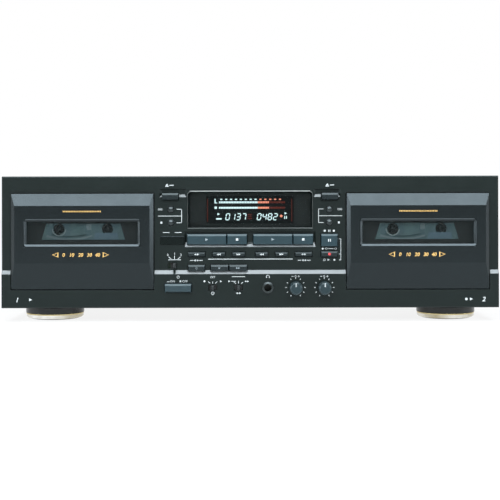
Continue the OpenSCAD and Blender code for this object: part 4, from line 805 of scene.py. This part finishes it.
depth = (meter["face"] - meter["proud"], meter["face"] + meter["sink"])
for text, middle in counter["texts"]:
    for i, digit in enumerate(text):
        addDigit(digit, middle + (i - (len(text) - 1) / 2) * counter["pitch"], depth)
litMarks = {
    "counterDigits": ("coldGlow", {
        "signs": [("play", -27.6, 93.6, 2.2), ("play", 31.4, 94.2, 2.1), ("pause", 31.2, 90.6, 2.4)],
        "bars": [(-29.8, -25.0, 88.8, 90.0), (-31.2, -30.3, 103.0, 107.0), (-31.2, -29.0, 103.0, 103.8),
            (-31.2, -29.2, 98.2, 100.2)]}),
    "recordDot": ("warmGlow", {"signs": [("record", 27.4, 91.8, 2.3)]}),
    "faintMarks": ("faintGlow", {
        "bars": [(-2.2, 1.6, 92.85, 93.55), (-2.2, 1.6, 91.05, 91.75), (-2.2, 1.6, 89.25, 89.95),
            (-37.6, -37.1, 87.0, 107.0), (36.4, 36.9, 87.0, 107.0)]}),
}
for name, (finish, marks) in litMarks.items():  # the digits are in the first piece already
    addMarks(depth, **marks)
    closePiece(name, finish)

# filament wires before the phosphor, between two posts
wires = {"depth": (-118.3, -118.2), "postDepth": (-118.4, -117.2),
    "bars": [(-38.9, 38.9, z - 0.05, z + 0.05) for z in (91.2, 97.4, 103.6)],
    "posts": [(-39.5, -38.3, 85.0, 109.8), (38.3, 39.5, 85.0, 109.8)]}
addMarks(wires["depth"], bars=wires["bars"])
addMarks(wires["postDepth"], bars=wires["posts"])
closePiece("tubeWires", "wireBlackAndRecessShade")
print("display lit")

# cassettes seen through the door windows

tape = {"face": -118.85, "label": (86.3, 90.0, 43.4, 3.0), "hole": 5.0, "mark": (5.0, 82.6, 4.2, 5.4, 1.2),
    "window": [(-36.6, 71.4), (36.6, 71.4), (32.4, 85.6), (-32.4, 85.6)],
    "packs": [[(23.0, 21.8), (21.1, 20.4), (19.6, 10.6)], [(14.5, 13.3), (12.6, 11.9), (11.1, 10.6)]],
    "curve": (-12.4, 132.0), "rim": (5.75, 0.9, 95.0, 175.0),
    "curves": {"darkCurve": ("curveDark", 58.0, 1.5, 31.0), "paleCurve": ("curvePale", 60.4, 1.5, 38.0)},
    "patch": [(9.0, 71.7), (31.0, 71.7), (30.0, 77.4), (10.5, 77.4)]}
teeth = {"count": 6, "radius": 4.45, "start": 0.3, "bar": (1.0, 3.4, 0.9), "back": 1.9, "rim": (4.85, 0.3)}
shellScrew = {"x": 45.6, "z": (105.4, 50.6), "middleZ": 58.0, "middleFace": -120.5, "radius": 1.9,
    "steps": 20, "proud": 0.1, "sink": 0.05}
# front and back of what lies on a cassette, measured forward from the shell's face
layers = {"cassetteLabel": (0.12, -0.02), "cassetteWindow": (0.28, 0.1), "tapePack": (0.33, 0.27),
    "hubMarks": (0.42, 0.27), "darkCurve": (0.4, 0.27), "paleCurve": (0.4, 0.27),
    "centreMark": (0.38, 0.27), "linerPatch": (0.36, 0.27), "hubRims": (-0.1, -3.7)}


def clipLoop(loop, window):  # the share of a convex loop that lies inside a convex window
    for i in range(len(window)):
        (ax, az), (bx, bz) = window[i - 1], window[i]
        kept = []
        for k in range(len(loop)):
            p, q = loop[k - 1], loop[k]
            dp, dq = [(bx - ax) * (z - az) - (bz - az) * (x - ax) for x, z in (p, q)]
            if dp >= 0:
                kept.append(p)
            if dp * dq < 0:
                t = dp / (dp - dq)
                kept.append((p[0] + (q[0] - p[0]) * t, p[1] + (q[1] - p[1]) * t))
        loop = kept
    return loop


def dressCassette(side):
    cx, y = deck["doorX"][side], tape["face"]
    hubs = [(cx - deck["hubX"], deck["hubZ"]), (cx + deck["hubX"], deck["hubZ"])]
    holes = [circleLoop(x, z, tape["hole"]) for x, z in hubs]
    window = [(cx + x, z) for x, z in tape["window"]]

    def put(name, finish, soften=0.0):
        closePiece(name + "_" + side, finish, "door_" + side, soften)

    def layer(name):
        return [y - lift for lift in layers[name]]

    def lay(name, finish, loops):
        addPrisms(loops, layer(name))
        put(name, finish)

    def clipped(loops):
        inside = [clipLoop(loop, window) for loop in loops]
        return [loop for loop in inside if len(loop) > 2]

    z, w, h, r = tape["label"]
    addSheet([roundedLoop(cx, z, w, h, r)] + holes, layer("cassetteLabel"))
    put("cassetteLabel", "labelPaper")
    addSheet([window] + holes, layer("cassetteWindow"))
    put("cassetteWindow", "shellWindow", soften=0.06)
    packs = []
    for hub, bands in zip(hubs, tape["packs"]):
        for outer, inner in bands:
            packs += arcLoops(*hub, (outer + inner) / 2, outer - inner, steps=72)
    lay("tapePack", "tapePack", clipped(packs))
    lay("hubMarks", "hubPale", arcLoops(*hubs[0], *tape["rim"]))
    for name, (finish, radius, width, reach) in tape["curves"].items():
        x, z = tape["curve"]
        lay(name, finish, clipped(arcLoops(cx + x, z, radius, width, 180.0 - reach / 2, reach, 32)))
    x, *rest = tape["mark"]
    lay("centreMark", "curvePale", [roundedLoop(cx + x, *rest)])
    lay("linerPatch", "liner", [[(cx + x, z) for x, z in tape["patch"]]])
    for x, z in hubs:
        addRing((x, y + teeth["back"], z), teeth, "spindle_plastic")
    put("hubTeeth", "spindle_plastic")
    rims = [arcLoops(*hub, *teeth["rim"], steps=28) for hub in hubs]
    lay("hubRims", "spindle_plastic", rims[0] + rims[1])
    spots = [(s * shellScrew["x"], z, y) for z in shellScrew["z"] for s in (-1, 1)]
    for x, z, face in spots + [(0.0, shellScrew["middleZ"], shellScrew["middleFace"])]:
        head = circleLoop(cx + x, z, shellScrew["radius"], shellScrew["steps"])
        addPrisms([head], (face - shellScrew["proud"], face + shellScrew["sink"]))
    put("shellScrews", "carriage_steel")


# gold marks on the doors

rule = {"z": 96.4, "lift": 0.02, "count": 24, "pitch": 1.4, "bar": (0.85, 0.1, 1.25)}
scale = {"z": 58.7, "numerals": [("0", -16.1), ("10", -9.1), ("20", -1.2), ("30", 6.4), ("40", 13.5)],
    "height": 3.1, "slant": 0.2, "bold": 0.13, "arrows": [(-23.2, -1), (20.9, 1)], "arrow": (5.6, 4.6),
    "arrowLine": 0.36, "arrowShift": 0.04}


def markDoor(side):
    body, cx, face = "door_" + side, deck["doorX"][side], deck["doorFace"]
    addRow((cx, face - rule["lift"], rule["z"]), rule, "goldInk")
    closePiece("goldRule_" + side, "goldInk", body)
    depth = inkDepth(face)
    for text, x in scale["numerals"]:
        addNumerals(text, cx + x, scale["z"], scale["height"], depth, scale["slant"], scale["bold"])
    w, h = scale["arrow"]
    keep = 1 - scale["arrowLine"]
    for x, s in scale["arrows"]:  # hollow arrows, thicker at the point
        outer = [(cx + x + px * w, scale["z"] + pz * h) for px, pz in arrowLoop(s=s)]
        mx, mz = cx + x - s * w * scale["arrowShift"], scale["z"]
        inner = [(mx + (px - mx) * keep, mz + (pz - mz) * keep) for px, pz in outer]
        addPrisms(ringLoops(outer, inner), depth)
    closePiece("goldScale_" + side, "goldInk", body)


# raised edge of a door window, with round corners: half width, low, high, corner, in front of the face
frameEdge = {"rows": [(50.95, 65.4, 89.8, 2.6, -0.05), (50.6, 65.8, 89.25, 2.3, 0.6),
    (50.35, 66.0, 88.95, 2.1, 0.6), (49.77, 67.7, 88.2, 1.2, 0.11)], "lensGap": 0.02}


def edgeWindow(side):
    loops = [standing(roundedLoop(deck["doorX"][side], (low + high) / 2, 2 * half, high - low, r),
                      deck["doorFace"] - lift) for half, low, high, r, lift in frameEdge["rows"]]
    loops.append([(x, deck["lensFace"] - frameEdge["lensGap"], z) for x, y, z in loops[-1]])
    bridge(loops)
    closePiece("windowEdge_" + side, "frameLip", "door_" + side)


for side in ("a", "b"):
    dressCassette(side)
    markDoor(side)
    edgeWindow(side)
print("cassettes and doors dressed")

# rear and screws

rings = {"columns": [("whiteRings", "ringWhite", -137.5), ("redRings", "ringRed", -122.5)],
    "z": (60.85, 75.85), "radius": 5.125, "width": 1.75, "depth": (132.95, 133.7)}
for name, finish, x in rings["columns"]:
    for z in rings["z"]:
        addPrisms(arcLoops(x, z, rings["radius"], rings["width"], steps=28), rings["depth"])
    closePiece(name, finish)

rear = {"depth": (130.95, 131.07), "gland": (165.0, 42.0, 11.0, 0.6)}
rearMarks = {
    "signs": [("back", -150.2, 60.85, 3.2), ("play", -150.2, 75.85, 3.2)],  # in and out
    "strokes": [(-146.6, 51.4, -113.4, 51.4, 0.6), (-146.6, 85.3, -113.4, 85.3, 0.6),
        (-146.6, 51.4, -146.6, 85.3, 0.6), (-113.4, 51.4, -113.4, 85.3, 0.6)],
}
addMarks(rear["depth"], **rearMarks)
addPrisms(arcLoops(*rear["gland"], steps=40), rear["depth"])
closePiece("rearPrint", "whiteInk")

# black crosses on the case screws: painted shade of their cross recesses
crosses = {"count": 4, "radius": 0.7, "start": math.pi / 4, "bar": (0.75, 0.12, 1.5), "z": 23.0,
    "sideX": 216.5, "sideY": (-63.0, 91.0), "rearY": 132.8, "rearX": (-183.61, -64.05, 64.05, 183.61)}
spots = [(s * crosses["sideX"], y, math.pi / 2) for s in (-1, 1) for y in crosses["sideY"]]
for x, y, turn in spots + [(x, crosses["rearY"], 0.0) for x in crosses["rearX"]]:
    addRing((x, y, crosses["z"]), crosses, "wireBlackAndRecessShade", turn)
closePiece("screwCrosses", "wireBlackAndRecessShade")
print("rear dressed")

# floor, backdrop, light and camera, in metres

studio = {"paper": (0.88, 0.88, 0.88), "fleck": (0.8624, 0.8624, 0.8624), "fleckNoise": (40.0, 3.0, 0.6),
    "rough": 0.9, "floorWhite": 0.84, "backWhite": 1.0, "floorRadius": 4.0, "floorSteps": 48,
    "drop": -0.0002, "backHalf": 4.0, "backY": 2.6, "backHigh": 3.5, "world": 0.18,
    "tint": (0.9, 0.965, 1.0), "aim": (0.0, -0.12, 0.07)}
boxes = {"frontBox": ((0.0, -1.43, 0.82), (2.0, 0.42), 23.0),
    "overBox": ((0.0, -0.32, 1.15), (1.5, 0.9), 26.5), "leftBox": ((-1.45, -0.5, 0.4), (0.7, 0.7), 11.8),
    "rightBox": ((1.45, -0.5, 0.4), (0.7, 0.7), 11.8)}


def addStage(name, paper, whiteness, corners):  # paper that the camera and mirrors see as nearly white
    tree, shader, place = openMaterial(paper)
    fleck = noiseNode(tree, place, *studio["fleckNoise"])
    feed(shader.inputs["Base Color"], mixColour(tree, fleck, studio["paper"], studio["fleck"]))
    feed(shader.inputs["Roughness"], studio["rough"])
    path = addNode(tree, "ShaderNodeLightPath").outputs
    seen = mathNode(tree, "ADD", path["Is Camera Ray"], path["Is Glossy Ray"])
    seen = mathNode(tree, "ADD", seen, path["Is Transmission Ray"], True)
    inputs = {0: mathNode(tree, "MULTIPLY", seen, whiteness), 1: shader.outputs[0],
              2: addNode(tree, "ShaderNodeEmission").outputs[0]}
    front = addNode(tree, "ShaderNodeMixShader", inputs).outputs[0]
    behind = addNode(tree, "ShaderNodeNewGeometry").outputs["Backfacing"]  # clear, to show the underside
    inputs = {0: behind, 1: front, 2: addNode(tree, "ShaderNodeBsdfTransparent").outputs[0]}
    feed(tree.nodes["out"].inputs[0], addNode(tree, "ShaderNodeMixShader", inputs).outputs[0])
    mesh = bpy.data.meshes.new(name)
    mesh.from_pydata(corners, [], [tuple(range(len(corners)))])
    mesh.materials.append(finishes[paper])
    sheet = show(name, mesh)


turns = [math.tau * i / studio["floorSteps"] for i in range(studio["floorSteps"])]
radius, half = studio["floorRadius"], studio["backHalf"]
disc = [(radius * math.cos(a), radius * math.sin(a), studio["drop"]) for a in turns]
wall = standing(barLoop(-half, half, 0.0, studio["backHigh"]), studio["backY"])
addStage("floor", "floorPaper", studio["floorWhite"], disc)
addStage("backdrop", "backPaper", studio["backWhite"], wall)

world = bpy.data.worlds.new("studio")
world.use_nodes = True
background = world.node_tree.nodes["Background"]
feed(background.inputs["Color"], (1.0, 1.0, 1.0))
feed(background.inputs["Strength"], studio["world"])
bpy.context.scene.world = world

for name, (place, size, power) in boxes.items():
    light = bpy.data.lights.new(name, "AREA")
    light.shape = "RECTANGLE"
    light.size, light.size_y = size
    light.energy = power
    light.color = studio["tint"]
    holder = show(name, light)
    holder.location = place
    aim = Vector(studio["aim"]) - Vector(place)
    holder.rotation_euler = aim.to_track_quat("-Z", "Y").to_euler()

shot = {"place": (0.0, -1.2235, 0.125), "lens": 90.6, "sensor": 36.0, "shiftY": -0.1434, "roll": 0.115,
    "far": 20.0}
camera = bpy.data.cameras.new("shot")
camera.lens = shot["lens"]
camera.sensor_width = shot["sensor"]
camera.shift_y = shot["shiftY"]
camera.clip_end = shot["far"]
viewer = show("shot", camera)
viewer.location = shot["place"]
viewer.rotation_euler = (math.pi / 2, math.radians(shot["roll"]), 0.0)
bpy.context.scene.camera = viewer
bpy.context.scene.view_settings.view_transform = "Standard"
print("stage set")
